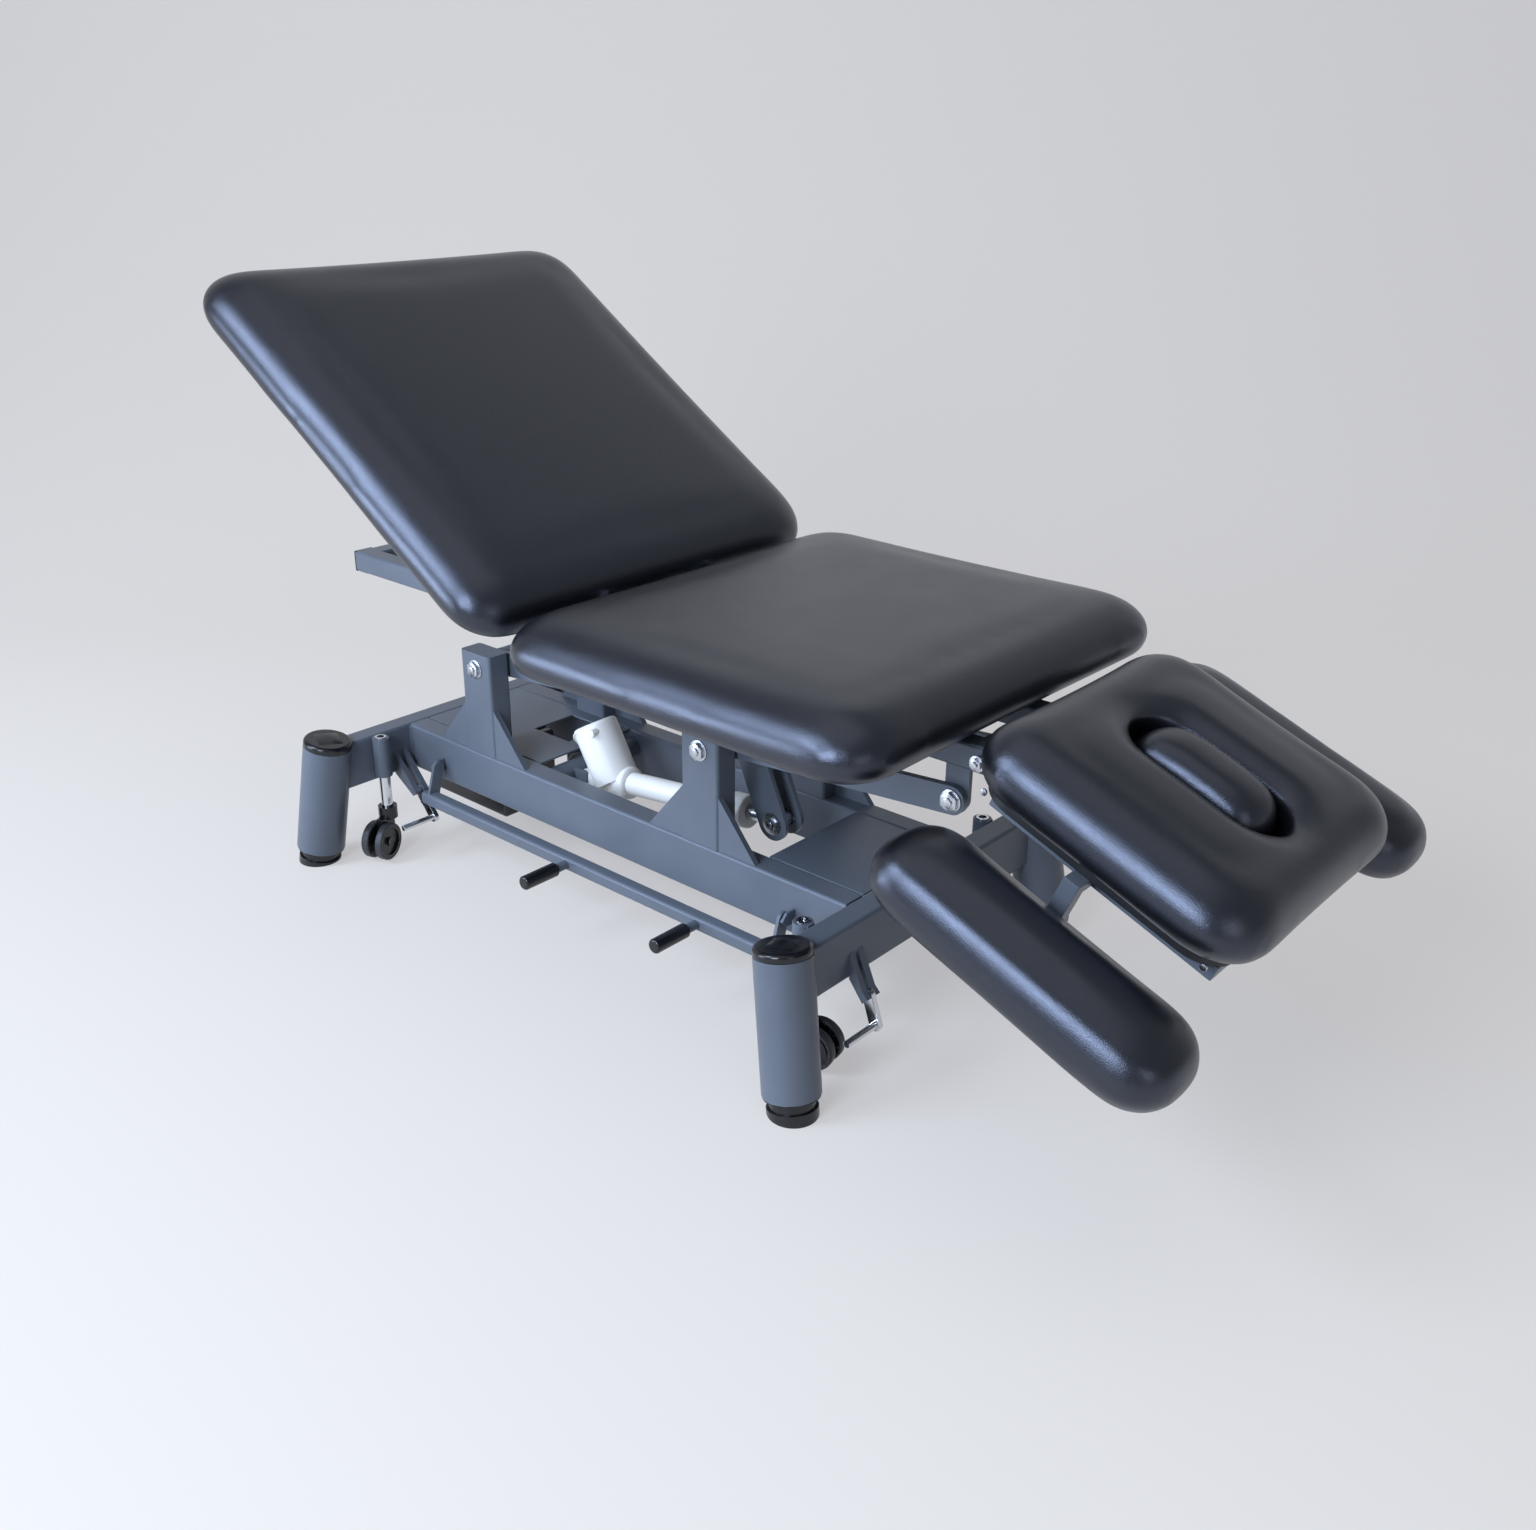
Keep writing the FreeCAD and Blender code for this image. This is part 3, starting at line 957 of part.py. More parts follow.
crossbar = rod("crossbar_tube", "crossbar_radius", inner_width,
               ("drive_back - crossbar_radius - 3 * drive_pin", "-rail_spread / 2 + rail_width",
                "drive_height"), "y")
mount_pieces = [crossbar]
bar_point = (size["drive_back"] - size["crossbar_radius"] - 3 * size["drive_pin"], size["drive_height"])
for way in (-1, 1):
    middle = f"drive_across + {way} * (gearbox_radius / 2 + side_gap + hinge_thick / 2)"
    mount_pieces.append(link(f"drive_lug_{way + 1}", bar_point, (drive_point.x, drive_point.z),
                             size["drive_eye_radius"], "hinge_thick", middle))
mount_pieces.append(rod("drive_mount_pin", "drive_pin", "gearbox_radius + 2 * side_gap + 2 * hinge_thick",
                        ("drive_back", "drive_across - gearbox_radius / 2 - side_gap - hinge_thick",
                         "drive_height"), "y"))
keep("drive_mount", fuse("drive_mount_welded", mount_pieces))

# Check every object, then write one file for each sub-part
doc.recompute()
failed = [thing.Name for thing in doc.Objects if "Invalid" in thing.State or "Error" in thing.State]
failed += [label for label, thing in nodes.items() if thing.Shape.isNull() or not thing.Shape.isValid()]
if failed:
    raise RuntimeError("Failed objects: " + ", ".join(failed))
os.makedirs("parts", exist_ok=True)
for label, thing in nodes.items():
    thing.Shape.exportStep(f"parts/{label}.step")
print(len(nodes), "sub-parts written")
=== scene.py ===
import json
import math

import bmesh
import bpy
from mathutils import Matrix, Vector

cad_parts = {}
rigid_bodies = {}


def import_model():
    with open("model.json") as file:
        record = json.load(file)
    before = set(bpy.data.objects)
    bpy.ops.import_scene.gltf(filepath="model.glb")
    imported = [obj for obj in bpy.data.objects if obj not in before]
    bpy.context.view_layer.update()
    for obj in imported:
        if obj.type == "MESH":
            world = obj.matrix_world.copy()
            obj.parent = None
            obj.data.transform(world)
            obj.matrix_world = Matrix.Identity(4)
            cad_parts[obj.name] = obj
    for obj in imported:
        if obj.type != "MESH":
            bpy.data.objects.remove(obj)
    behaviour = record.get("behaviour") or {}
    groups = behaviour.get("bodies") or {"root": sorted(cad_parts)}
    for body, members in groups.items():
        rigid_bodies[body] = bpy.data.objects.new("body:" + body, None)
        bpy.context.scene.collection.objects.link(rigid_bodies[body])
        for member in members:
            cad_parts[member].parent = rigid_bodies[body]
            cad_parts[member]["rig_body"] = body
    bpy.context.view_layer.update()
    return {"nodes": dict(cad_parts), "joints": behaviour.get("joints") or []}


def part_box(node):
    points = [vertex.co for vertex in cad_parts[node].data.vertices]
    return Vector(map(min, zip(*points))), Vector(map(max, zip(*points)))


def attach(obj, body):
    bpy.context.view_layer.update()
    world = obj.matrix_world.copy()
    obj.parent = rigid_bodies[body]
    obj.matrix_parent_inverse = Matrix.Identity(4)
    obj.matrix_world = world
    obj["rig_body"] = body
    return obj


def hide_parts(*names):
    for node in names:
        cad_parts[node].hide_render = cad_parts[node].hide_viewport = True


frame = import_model()
scene = bpy.context.scene
joints = {joint["name"]: joint for joint in frame["joints"]}

# Studio: a pale floor that sweeps up into a wall behind the table, as a paper roll does.
# Paper is even and nearly matt, so it takes the table's soft shadow and a faint reflection.
# To the eye and in reflections it also glows a little, as a roll that is lit on its own does.


def linear(hex_colour):
    """sRGB hex to the linear colour that a shader socket takes."""
    parts = [int(hex_colour[i:i + 2], 16) / 255 for i in (1, 3, 5)]
    bent = [c / 12.92 if c <= 0.04045 else ((c + 0.055) / 1.055) ** 2.4 for c in parts]
    return tuple(bent) + (1.0,)


def add_node(tree, kind, links=(), inputs=(), **settings):
    """One node with its settings, its fixed inputs, and links given as (input, source socket)."""
    node = tree.nodes.new(kind)
    for name, value in settings.items():
        setattr(node, name, value)
    for name, value in inputs:
        node.inputs[name].default_value = value
    for name, source in links:
        tree.links.new(source, node.inputs[name])
    return node


def new_material(name):
    """A material with its node tree and its shader."""
    material = bpy.data.materials.new(name)
    material.use_nodes = True
    return material, material.node_tree, material.node_tree.nodes["Principled BSDF"]


def new_piece(name, bm, *materials):
    """Object at the origin from a bmesh, smooth except at its hard edges."""
    hard_edge = math.radians(38)
    for edge in bm.edges:
        edge.smooth = edge.calc_face_angle(0.0) < hard_edge
    for face in bm.faces:
        face.smooth = True
    mesh = bpy.data.meshes.new(name)
    bm.to_mesh(mesh)
    bm.free()
    for material in materials:
        mesh.materials.append(material)
    piece = bpy.data.objects.new(name, mesh)
    scene.collection.objects.link(piece)
    return piece


camera_yaw = math.radians(40.91)
camera_pitch = math.radians(23.64)
camera_roll = math.radians(0.6)
camera_data = bpy.data.cameras.new("photo_view")
camera_data.sensor_width = 36.0
camera_data.lens = 34.89
camera = bpy.data.objects.new("photo_view", camera_data)
camera.rotation_mode = "QUATERNION"
camera.location = (1.5015, -1.7158, 1.3270)
turn = Matrix.Rotation(camera_yaw, 4, "Z") @ Matrix.Rotation(math.pi / 2 - camera_pitch, 4, "X")
camera.rotation_quaternion = (turn @ Matrix.Rotation(camera_roll, 4, "Z")).to_quaternion()
scene.collection.objects.link(camera)
scene.camera = camera

floor_half = 9.0
wall_away = 4.2
wall_height = 6.0
sweep_radius = 2.6
bm = bmesh.new()
bmesh.ops.create_grid(bm, x_segments=1, y_segments=1, size=floor_half)
bmesh.ops.translate(bm, verts=bm.verts, vec=(0, wall_away - floor_half, 0))
back_edge = max(bm.edges, key=lambda edge: sum(vert.co.y for vert in edge.verts))
risen = bmesh.ops.extrude_edge_only(bm, edges=[back_edge])
bmesh.ops.translate(bm, verts=[v for v in risen["geom"] if isinstance(v, bmesh.types.BMVert)],
                    vec=(0, 0, wall_height))
fold = [edge for edge in bm.edges if len(edge.link_faces) == 2]
bmesh.ops.bevel(bm, geom=fold, offset=sweep_radius, offset_type="OFFSET", affect="EDGES", segments=32,
                profile=0.5, material=-1)
bmesh.ops.rotate(bm, verts=bm.verts, cent=(0, 0, 0), matrix=Matrix.Rotation(camera_yaw, 3, "Z"))
paper, paper_tree, paper_shader = new_material("studio_paper")
paper_shader.inputs["Base Color"].default_value = linear("#A8A49D")
paper_shader.inputs["Roughness"].default_value = 0.55
paper_shader.inputs["Specular IOR Level"].default_value = 0.15
paper_shader.inputs["Emission Color"].default_value = linear("#FAFAFF")
paper_glow = 0.43
ray = add_node(paper_tree, "ShaderNodeLightPath")
mirrored = add_node(paper_tree, "ShaderNodeMath",
                    [(0, ray.outputs["Is Glossy Ray"]), (1, ray.outputs["Is Transmission Ray"])],
                    operation="MAXIMUM")
seen = add_node(paper_tree, "ShaderNodeMath",
                [(0, ray.outputs["Is Camera Ray"]), (1, mirrored.outputs["Value"])],
                operation="MAXIMUM")
glow = add_node(paper_tree, "ShaderNodeMath", [(0, seen.outputs["Value"])], [(1, paper_glow)],
                operation="MULTIPLY")
paper_tree.links.new(glow.outputs["Value"], paper_shader.inputs["Emission Strength"])
floor = new_piece("studio_floor", bm, paper)

# The air beyond the paper lights the table weakly, and is pale where the camera sees it
world = bpy.data.worlds.new("studio_air")
world.use_nodes = True
air_tree = world.node_tree
air_tree.nodes["Background"].inputs["Color"].default_value = linear("#DADCE2")
air_light = 0.37
air_shown = 0.75
sight = add_node(air_tree, "ShaderNodeLightPath")
air_strength = add_node(air_tree, "ShaderNodeMapRange", [("Value", sight.outputs["Is Camera Ray"])],
                        [("To Min", air_light), ("To Max", air_shown)])
air_tree.links.new(air_strength.outputs["Result"], air_tree.nodes["Background"].inputs["Strength"])
scene.world = world
scene.view_settings.view_transform = "Standard"

# Three soft boxes on the near side draw a bright band along each pad's edge, and two weak lamps fill.
# Name, place, what it faces, width, height, power and colour of each lamp
LAMPS = (
    ("seat_box", (-2.4, -3.0, 0.8), (0.1, -0.35, 0.55), 1.4, 1.2, 62.0, "#D3E3FB"),
    ("back_box", (-1.65, -3.2, 3.1), (-0.5, -0.3, 0.8), 1.6, 1.6, 108.0, "#D3E3FB"),
    ("head_box", (0.6, -3.2, 1.9), (0.7, -0.3, 0.45), 1.3, 1.5, 86.0, "#D3E3FB"),
    ("overhead", (0.2, -0.4, 4.2), (0.2, 0.0, 0.4), 4.0, 3.2, 20.0, "#FFFDFA"),
    ("head_fill", (3.4, -1.4, 1.3), (0.3, 0.0, 0.35), 1.4, 1.2, 8.0, "#F4F6FF"),
)
for lamp_name, stand, target, width, height, power, tint in LAMPS:
    light = bpy.data.lights.new(lamp_name, "AREA")
    light.shape = "RECTANGLE"
    light.size = width
    light.size_y = height
    light.energy = power
    light.color = linear(tint)[:3]
    lamp = bpy.data.objects.new(lamp_name, light)
    lamp.location = stand
    lamp.rotation_euler = (Vector(target) - Vector(stand)).to_track_quat("-Z", "Y").to_euler()
    lamp.visible_camera = False
    scene.collection.objects.link(lamp)

# Frame steel: welded box section, plate and tube, powder coated in one dark slate grey.
# Each node's solid is copied with its hard edges eased, because the coat flows round an edge.
# The coat is baked on as powder, which leaves a satin skin with a faint orange peel.
powder_coat, tree, shader = new_material("powder_coated_steel")
place = add_node(tree, "ShaderNodeTexCoord")
peel_grain = 0.0022
peel = add_node(tree, "ShaderNodeTexNoise", [("Vector", place.outputs["Object"])],
                [("Scale", 1 / peel_grain), ("Detail", 2.0), ("Roughness", 0.45)])
cloud_width = 0.16
cloud = add_node(tree, "ShaderNodeTexNoise", [("Vector", place.outputs["Object"])],
                 [("Scale", 1 / cloud_width), ("Detail", 3.0)])
noise_low = 0.3
noise_high = 0.7
noise_span = [("From Min", noise_low), ("From Max", noise_high)]
coat_colour = add_node(tree, "ShaderNodeValToRGB", [("Fac", cloud.outputs["Fac"])])
coat_colour.color_ramp.elements[0].position = noise_low
coat_colour.color_ramp.elements[0].color = linear("#5E656F")
coat_colour.color_ramp.elements[1].position = noise_high
coat_colour.color_ramp.elements[1].color = linear("#666D77")
coat_gloss = add_node(tree, "ShaderNodeMapRange", [("Value", cloud.outputs["Fac"])],
                      noise_span + [("To Min", 0.33), ("To Max", 0.40)])
peel_bump = add_node(tree, "ShaderNodeBump", [("Height", peel.outputs["Fac"])],
                     [("Strength", 0.12), ("Distance", 0.0004)])
tree.links.new(coat_colour.outputs["Color"], shader.inputs["Base Color"])
tree.links.new(coat_gloss.outputs["Result"], shader.inputs["Roughness"])
tree.links.new(peel_bump.outputs["Normal"], shader.inputs["Normal"])
shader.inputs["IOR"].default_value = 1.5
shader.inputs["Specular Tint"].default_value = linear("#E3EBFF")


def node_copy(node):
    """Merged copy of a CAD node's mesh, with its flat faces whole."""
    bm = bmesh.new()
    bm.from_mesh(frame["nodes"][node].data)
    same_point = 0.00002
    flat_angle = math.radians(0.6)
    bmesh.ops.remove_doubles(bm, verts=bm.verts, dist=same_point)
    bmesh.ops.dissolve_limit(bm, angle_limit=flat_angle, verts=bm.verts, edges=bm.edges)
    return bm


def ease_edges(bm, radius):
    """Round the hard outer edges of a mesh."""
    hard_angle = math.radians(35)
    hard = [edge for edge in bm.edges if len(edge.link_faces) == 2 and edge.is_convex
            and edge.calc_face_angle(0.0) > hard_angle]
    bmesh.ops.bevel(bm, geom=hard, offset=radius, offset_type="OFFSET", affect="EDGES", segments=2,
                    profile=0.5, material=-1, clamp_overlap=True)


def stand_for(piece, node):
    """Let a finished piece show in place of its CAD node, with flat faces that shade flat."""
    weight = piece.modifiers.new("flat_faces", "WEIGHTED_NORMAL")
    weight.keep_sharp = True
    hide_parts(node)
    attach(piece, frame["nodes"][node]["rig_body"])
    return piece


def eased(node, radius, material):
    """Copy of a CAD node with its hard outer edges rounded, in the node's place."""
    bm = node_copy(node)
    ease_edges(bm, radius)
    return stand_for(new_piece(f"{node}_eased", bm, material), node)


SIDES = {"near": -1, "far": 1}
CORNERS = ("near_back", "far_back", "near_head", "far_head")
coat_edge = 0.0016
for node in ("near_rail", "far_rail", "back_beam", "head_beam", "base_sheets", "pedal_brackets",
             "foot_bar_lugs", "drive_mount", "castor_sockets", "back_lift_arms", "head_lift_arms",
             "upper_frame", "back_brackets", "head_frame", "near_armrest_bracket", "far_armrest_bracket",
             "near_foot_bar", "far_foot_bar"):
    eased(node, coat_edge, powder_coat)
for corner in CORNERS:
    eased(f"{corner}_post", coat_edge, powder_coat)
    eased(f"{corner}_leg", coat_edge, powder_coat)

# Welds: a bead of fused steel runs up each corner where a rail meets a beam, under the same coat.
# The torch moves in small steps, which leaves a row of overlapping ripples.
bead_radius = 0.0026
bead_stretch = 1.9
ripple = 0.006
bare_ripples = 1.5
bm = bmesh.new()
for rail in ("near_rail", "far_rail"):
    low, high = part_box(rail)
    for corner_x in (low.x, high.x):
        for corner_y in (low.y, high.y):
            for step in range(int((high.z - low.z) / ripple) - 2):
                spot = Matrix.Translation((corner_x, corner_y, low.z + (step + bare_ripples) * ripple))
                bmesh.ops.create_icosphere(bm, subdivisions=2, radius=bead_radius,
                                           matrix=spot @ Matrix.Diagonal((1, 1, bead_stretch, 1)))
welds = new_piece("corner_welds", bm, powder_coat)
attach(welds, "base")

# Tube ends: the upper frame's box sections and the foot bars' square tubes are shut with black plugs.
# Each plug is moulded with a rounded head and driven in, so only its head shows.
# A spark-eroded mould leaves a fine matt texture, a little shinier where it is handled.
black_plastic, tree, shader = new_material("black_moulded_plastic")
place = add_node(tree, "ShaderNodeTexCoord")
mould_grain = 0.0012
mould = add_node(tree, "ShaderNodeTexNoise", [("Vector", place.outputs["Object"])],
                 [("Scale", 1 / mould_grain), ("Detail", 2.0)])
rub_width = 0.05
rub = add_node(tree, "ShaderNodeTexNoise", [("Vector", place.outputs["Object"])],
               [("Scale", 1 / rub_width), ("Detail", 2.0)])
rub_gloss = add_node(tree, "ShaderNodeMapRange", [("Value", rub.outputs["Fac"])],
                     noise_span + [("To Min", 0.16), ("To Max", 0.24)])
mould_bump = add_node(tree, "ShaderNodeBump", [("Height", mould.outputs["Fac"])],
                      [("Strength", 0.12), ("Distance", 0.0003)])
tree.links.new(rub_gloss.outputs["Result"], shader.inputs["Roughness"])
tree.links.new(mould_bump.outputs["Normal"], shader.inputs["Normal"])
shader.inputs["Base Color"].default_value = linear("#17181B")

plug_head = 0.003
frame_plug_edge = 0.0015
box_tube = 0.040
frame_tube_y = 0.090
frame_tube_z = joints["head_tilt"]["pos_m"][2]
frame_low, frame_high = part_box("upper_frame")
bm = bmesh.new()
for end_x in (frame_low.x, frame_high.x):
    for side_y in (-frame_tube_y, frame_tube_y):
        spot = Matrix.Translation((end_x, side_y, frame_tube_z))
        bmesh.ops.create_cube(bm, size=1.0,
                              matrix=spot @ Matrix.Diagonal((2 * plug_head, box_tube, box_tube, 1)))
ease_edges(bm, frame_plug_edge)
frame_plugs = new_piece("frame_end_plugs", bm, black_plastic)
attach(frame_plugs, frame["nodes"]["upper_frame"]["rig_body"])

bar_plug_edge = 0.0012
bar_tube = 0.025
bar_across = 0.194
bar_middle = 0.1275
for side, sign in SIDES.items():
    bar_low, bar_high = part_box(f"{side}_foot_bar")
    bm = bmesh.new()
    for end_x in (bar_low.x, bar_high.x):
        spot = Matrix.Translation((end_x, sign * bar_across, bar_middle))
        bmesh.ops.create_cube(bm, size=1.0,
                              matrix=spot @ Matrix.Diagonal((2 * plug_head, bar_tube, bar_tube, 1)))
    ease_edges(bm, bar_plug_edge)
    bar_plugs = new_piece(f"{side}_foot_bar_plugs", bm, black_plastic)
    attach(bar_plugs, frame["nodes"][f"{side}_foot_bar"]["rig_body"])

# Leg caps: black mouldings pressed into the leg tubes, with a low four-sided point on top.
# The feet below, the peg grips and the control box are of the same plastic.
cap_rise = 0.007
cap_edge = 0.003
cap_least_area = 0.003
point_share = 0.84
moulded_edge = 0.0012
bm = node_copy("leg_caps")
cap_tops = [(face.calc_center_median(), face.normal.copy(), math.sqrt(face.calc_area() / math.pi))
            for face in bm.faces if face.normal.z > 0.8 and face.calc_area() > cap_least_area]
ease_edges(bm, cap_edge)
for top, up, radius in cap_tops:
    lean = up.to_track_quat("Z", "Y").to_matrix().to_4x4()
    bmesh.ops.create_cone(bm, cap_ends=True, segments=4, radius1=point_share * radius, radius2=0.0,
                          depth=cap_rise, matrix=Matrix.Translation(top + up * cap_rise / 2) @ lean)
stand_for(new_piece("leg_caps_pointed", bm, black_plastic), "leg_caps")
for node in ("leg_feet", "control_box", "near_peg_grips", "far_peg_grips"):
    eased(node, moulded_edge, black_plastic)

# Pivot bolts and the drive's push rod: turned steel, zinc plated.
# Plating keeps the turned surface bright, with small dull patches from the bath.
zinc, tree, shader = new_material("zinc_plated_steel")
place = add_node(tree, "ShaderNodeTexCoord")
patch_width = 0.006
patches = add_node(tree, "ShaderNodeTexNoise", [("Vector", place.outputs["Object"])],
                   [("Scale", 1 / patch_width), ("Detail", 3.0)])
patch_gloss = add_node(tree, "ShaderNodeMapRange", [("Value", patches.outputs["Fac"])],
                       noise_span + [("To Min", 0.22), ("To Max", 0.34)])
tree.links.new(patch_gloss.outputs["Result"], shader.inputs["Roughness"])
shader.inputs["Base Color"].default_value = linear("#C6C9CF")
shader.inputs["Metallic"].default_value = 1.0
turned_edge = 0.0008
for node in ("lift_pivot_bolts", "drive_rod"):
    eased(node, turned_edge, zinc)


def add_fastener(bm, spot, sign, size, height, washer):
    """Washer, six-sided nut and the bolt's rounded end, at spot and facing along y by sign.

    size is the nut's radius over its corners, height its top above spot, washer the washer's radius."""
    facing = Matrix.Translation(spot) @ Matrix.Rotation(-sign * math.pi / 2, 4, "X")
    washer_gap = 0.0002
    washer_thick = 0.0016
    thread_radius = 0.48 * size
    thread_rise = 0.003
    for sides, radius, low, high in ((40, washer, washer_gap, washer_thick), (6, size, washer_thick, height),
                                     (24, thread_radius, height, height + thread_rise)):
        shape = facing @ Matrix.Translation((0, 0, (low + high) / 2))
        bmesh.ops.create_cone(bm, cap_ends=True, segments=sides, radius1=radius, radius2=radius,
                              depth=high - low, matrix=shape)


# Nuts on the pivots: zinc plated, on thin washers.
# Those of the lift's posts stay on the base, the others travel with the upper frame.
post_nut = {"size": 0.01505, "height": 0.0083, "washer": 0.0175}
post_nut_edge = 0.0006
bolt_face = 0.1570
bm = bmesh.new()
for joint in ("lift", "head_arm_turn"):
    pivot = joints[joint]["pos_m"]
    for sign in SIDES.values():
        add_fastener(bm, (pivot[0], sign * bolt_face, pivot[2]), sign, **post_nut)
ease_edges(bm, post_nut_edge)
post_nuts = new_piece("post_pivot_nuts", bm, zinc)
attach(post_nuts, "base")

frame_nut = {"size": 0.01505, "height": 0.0083, "washer": 0.0170}
hinge_nut = {"size": 0.0095, "height": 0.0060, "washer": 0.0120}
nut_edge = 0.0005
pin_face = 0.1084
hinge_face = 0.1206
level_pivot = joints["frame_level"]["pos_m"]
arm_spacing = joints["head_arm_turn"]["pos_m"][0] - joints["lift"]["pos_m"][0]
bm = bmesh.new()
for sign in SIDES.values():
    for pivot_x in (level_pivot[0], level_pivot[0] + arm_spacing):
        add_fastener(bm, (pivot_x, sign * pin_face, level_pivot[2]), sign, **frame_nut)
    for joint in ("back_tilt", "head_tilt"):
        pivot = joints[joint]["pos_m"]
        add_fastener(bm, (pivot[0], sign * hinge_face, pivot[2]), sign, **hinge_nut)
ease_edges(bm, nut_edge)
frame_nuts = new_piece("frame_pivot_nuts", bm, zinc)
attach(frame_nuts, frame["nodes"]["upper_frame"]["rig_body"])

drive_plane = -0.030
lever_outside = 0.0232
drive_nut = {"size": 0.0115, "height": 0.0080, "washer": 0.0195}
pin_from_pivot = Vector((0.065, 0.0, -0.144))
drive_pin = Vector(joints["head_arm_turn"]["pos_m"]) + pin_from_pivot
bm = bmesh.new()
for sign in SIDES.values():
    add_fastener(bm, (drive_pin.x, drive_plane + sign * lever_outside, drive_pin.z), sign, **drive_nut)
ease_edges(bm, nut_edge)
drive_nuts = new_piece("drive_pin_nuts", bm, zinc)
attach(drive_nuts, frame["nodes"]["drive_rod"]["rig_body"])

# Castor pedals and stems: bent and turned steel, chromed and polished to a near mirror.
# Each stem's top is bored and threaded, which shows as a dark hole.
chrome, tree, shader = new_material("chromed_steel")
place = add_node(tree, "ShaderNodeTexCoord")
haze_width = 0.02
haze = add_node(tree, "ShaderNodeTexNoise", [("Vector", place.outputs["Object"])],
                [("Scale", 1 / haze_width), ("Detail", 2.0)])
haze_gloss = add_node(tree, "ShaderNodeMapRange", [("Value", haze.outputs["Fac"])],
                      noise_span + [("To Min", 0.10), ("To Max", 0.18)])
tree.links.new(haze_gloss.outputs["Result"], shader.inputs["Roughness"])
shader.inputs["Base Color"].default_value = linear("#D6D8DC")
shader.inputs["Metallic"].default_value = 1.0
pedal_edge = 0.0015
for node in ("back_castor_pedal", "head_castor_pedal"):
    eased(node, pedal_edge, chrome)
bore_wall = 0.0035
bore_depth = 0.012
for corner in CORNERS:
    bm = node_copy(f"{corner}_castor_stem")
    ease_edges(bm, turned_edge)
    bm.faces.ensure_lookup_table()
    bm.normal_update()
    top = max(bm.faces, key=lambda face: face.calc_center_median().z + face.calc_area())
    bmesh.ops.inset_region(bm, faces=[top], thickness=bore_wall)
    sunk = bmesh.ops.extrude_discrete_faces(bm, faces=[top])["faces"]
    bmesh.ops.translate(bm, verts=sunk[0].verts, vec=(0, 0, -bore_depth))
    stand_for(new_piece(f"{corner}_stem_bored", bm, chrome), f"{corner}_castor_stem")
    eased(f"{corner}_castor_yoke", moulded_edge, black_plastic)

# Castor wheels: twin discs of black nylon, each with a tyre of grey polyurethane moulded on.
# The tyre has a matt tread that picks up scuffs, and the disc keeps the mould's sheen.
tyre, tree, shader = new_material("moulded_polyurethane")
place = add_node(tree, "ShaderNodeTexCoord")
scuff_width = 0.012
scuff = add_node(tree, "ShaderNodeTexNoise", [("Vector", place.outputs["Object"])],
                 [("Scale", 1 / scuff_width), ("Detail", 4.0)])
scuff_gloss = add_node(tree, "ShaderNodeMapRange", [("Value", scuff.outputs["Fac"])],
                       noise_span + [("To Min", 0.38), ("To Max", 0.55)])
tree.links.new(scuff_gloss.outputs["Result"], shader.inputs["Roughness"])
shader.inputs["Base Color"].default_value = linear("#33353A")
tyre_wall = 0.0065
disc_sink = 0.0012
disc_corners = 20
for corner in CORNERS:
    node = f"{corner}_castor_wheels"
    wheel_low, wheel_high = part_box(node)
    axle = Vector(joints[f"{corner}_wheel_spin"]["pos_m"])
    spin = Vector(joints[f"{corner}_wheel_spin"]["axis"])
    tread = (wheel_high.z - wheel_low.z) / 2
    bm = node_copy(node)
    for face in [face for face in bm.faces if len(face.verts) > disc_corners]:
        bmesh.ops.inset_region(bm, faces=[face], thickness=tyre_wall, depth=-disc_sink)
    ease_edges(bm, moulded_edge)
    for face in bm.faces:
        arm = face.calc_center_median() - axle
        face.material_index = int((arm - arm.dot(spin) * spin).length > tread - tyre_wall)
    stand_for(new_piece(f"{corner}_wheels_tyred", bm, black_plastic, tyre), node)

# Lift drive: a motor and a tube housing of white moulded plastic with the steel rod inside.
# The motor's cover has a raised rim, a seam that runs round it on the slant, and a screw boss.
white_plastic, tree, shader = new_material("white_moulded_plastic")
place = add_node(tree, "ShaderNodeTexCoord")
satin_grain = 0.0015
satin = add_node(tree, "ShaderNodeTexNoise", [("Vector", place.outputs["Object"])],
                 [("Scale", 1 / satin_grain), ("Detail", 2.0)])
satin_bump = add_node(tree, "ShaderNodeBump", [("Height", satin.outputs["Fac"])],
                      [("Strength", 0.1), ("Distance", 0.0003)])
tree.links.new(satin_bump.outputs["Normal"], shader.inputs["Normal"])
shader.inputs["Base Color"].default_value = linear("#F8F6F1")
shader.inputs["Roughness"].default_value = 0.36
tube_edge = 0.002
eased("drive_tube", tube_edge, white_plastic)

motor_radius = 0.041
motor_length = 0.112
motor_foot = Vector((-0.3391, -0.030, 0.2121))
motor_axis = Vector((-0.4067, 0.0, 0.9135))
motor_turn = motor_axis.to_track_quat("Z", "Y").to_matrix().to_4x4()
rim_wall = 0.0022
rim_depth = 0.004
rim_edge = 0.0008
bm = node_copy("drive_motor")
bm.normal_update()
ends = [face for face in bm.faces if face.normal.dot(motor_axis) > 0.99]
lid = max(ends, key=lambda face: face.calc_area())
bmesh.ops.inset_region(bm, faces=[lid], thickness=rim_wall)
sunk = bmesh.ops.extrude_discrete_faces(bm, faces=[lid])["faces"]
bmesh.ops.translate(bm, verts=sunk[0].verts, vec=-rim_depth * motor_axis)
ease_edges(bm, rim_edge)
stand_for(new_piece("drive_motor_rimmed", bm, white_plastic), "drive_motor")

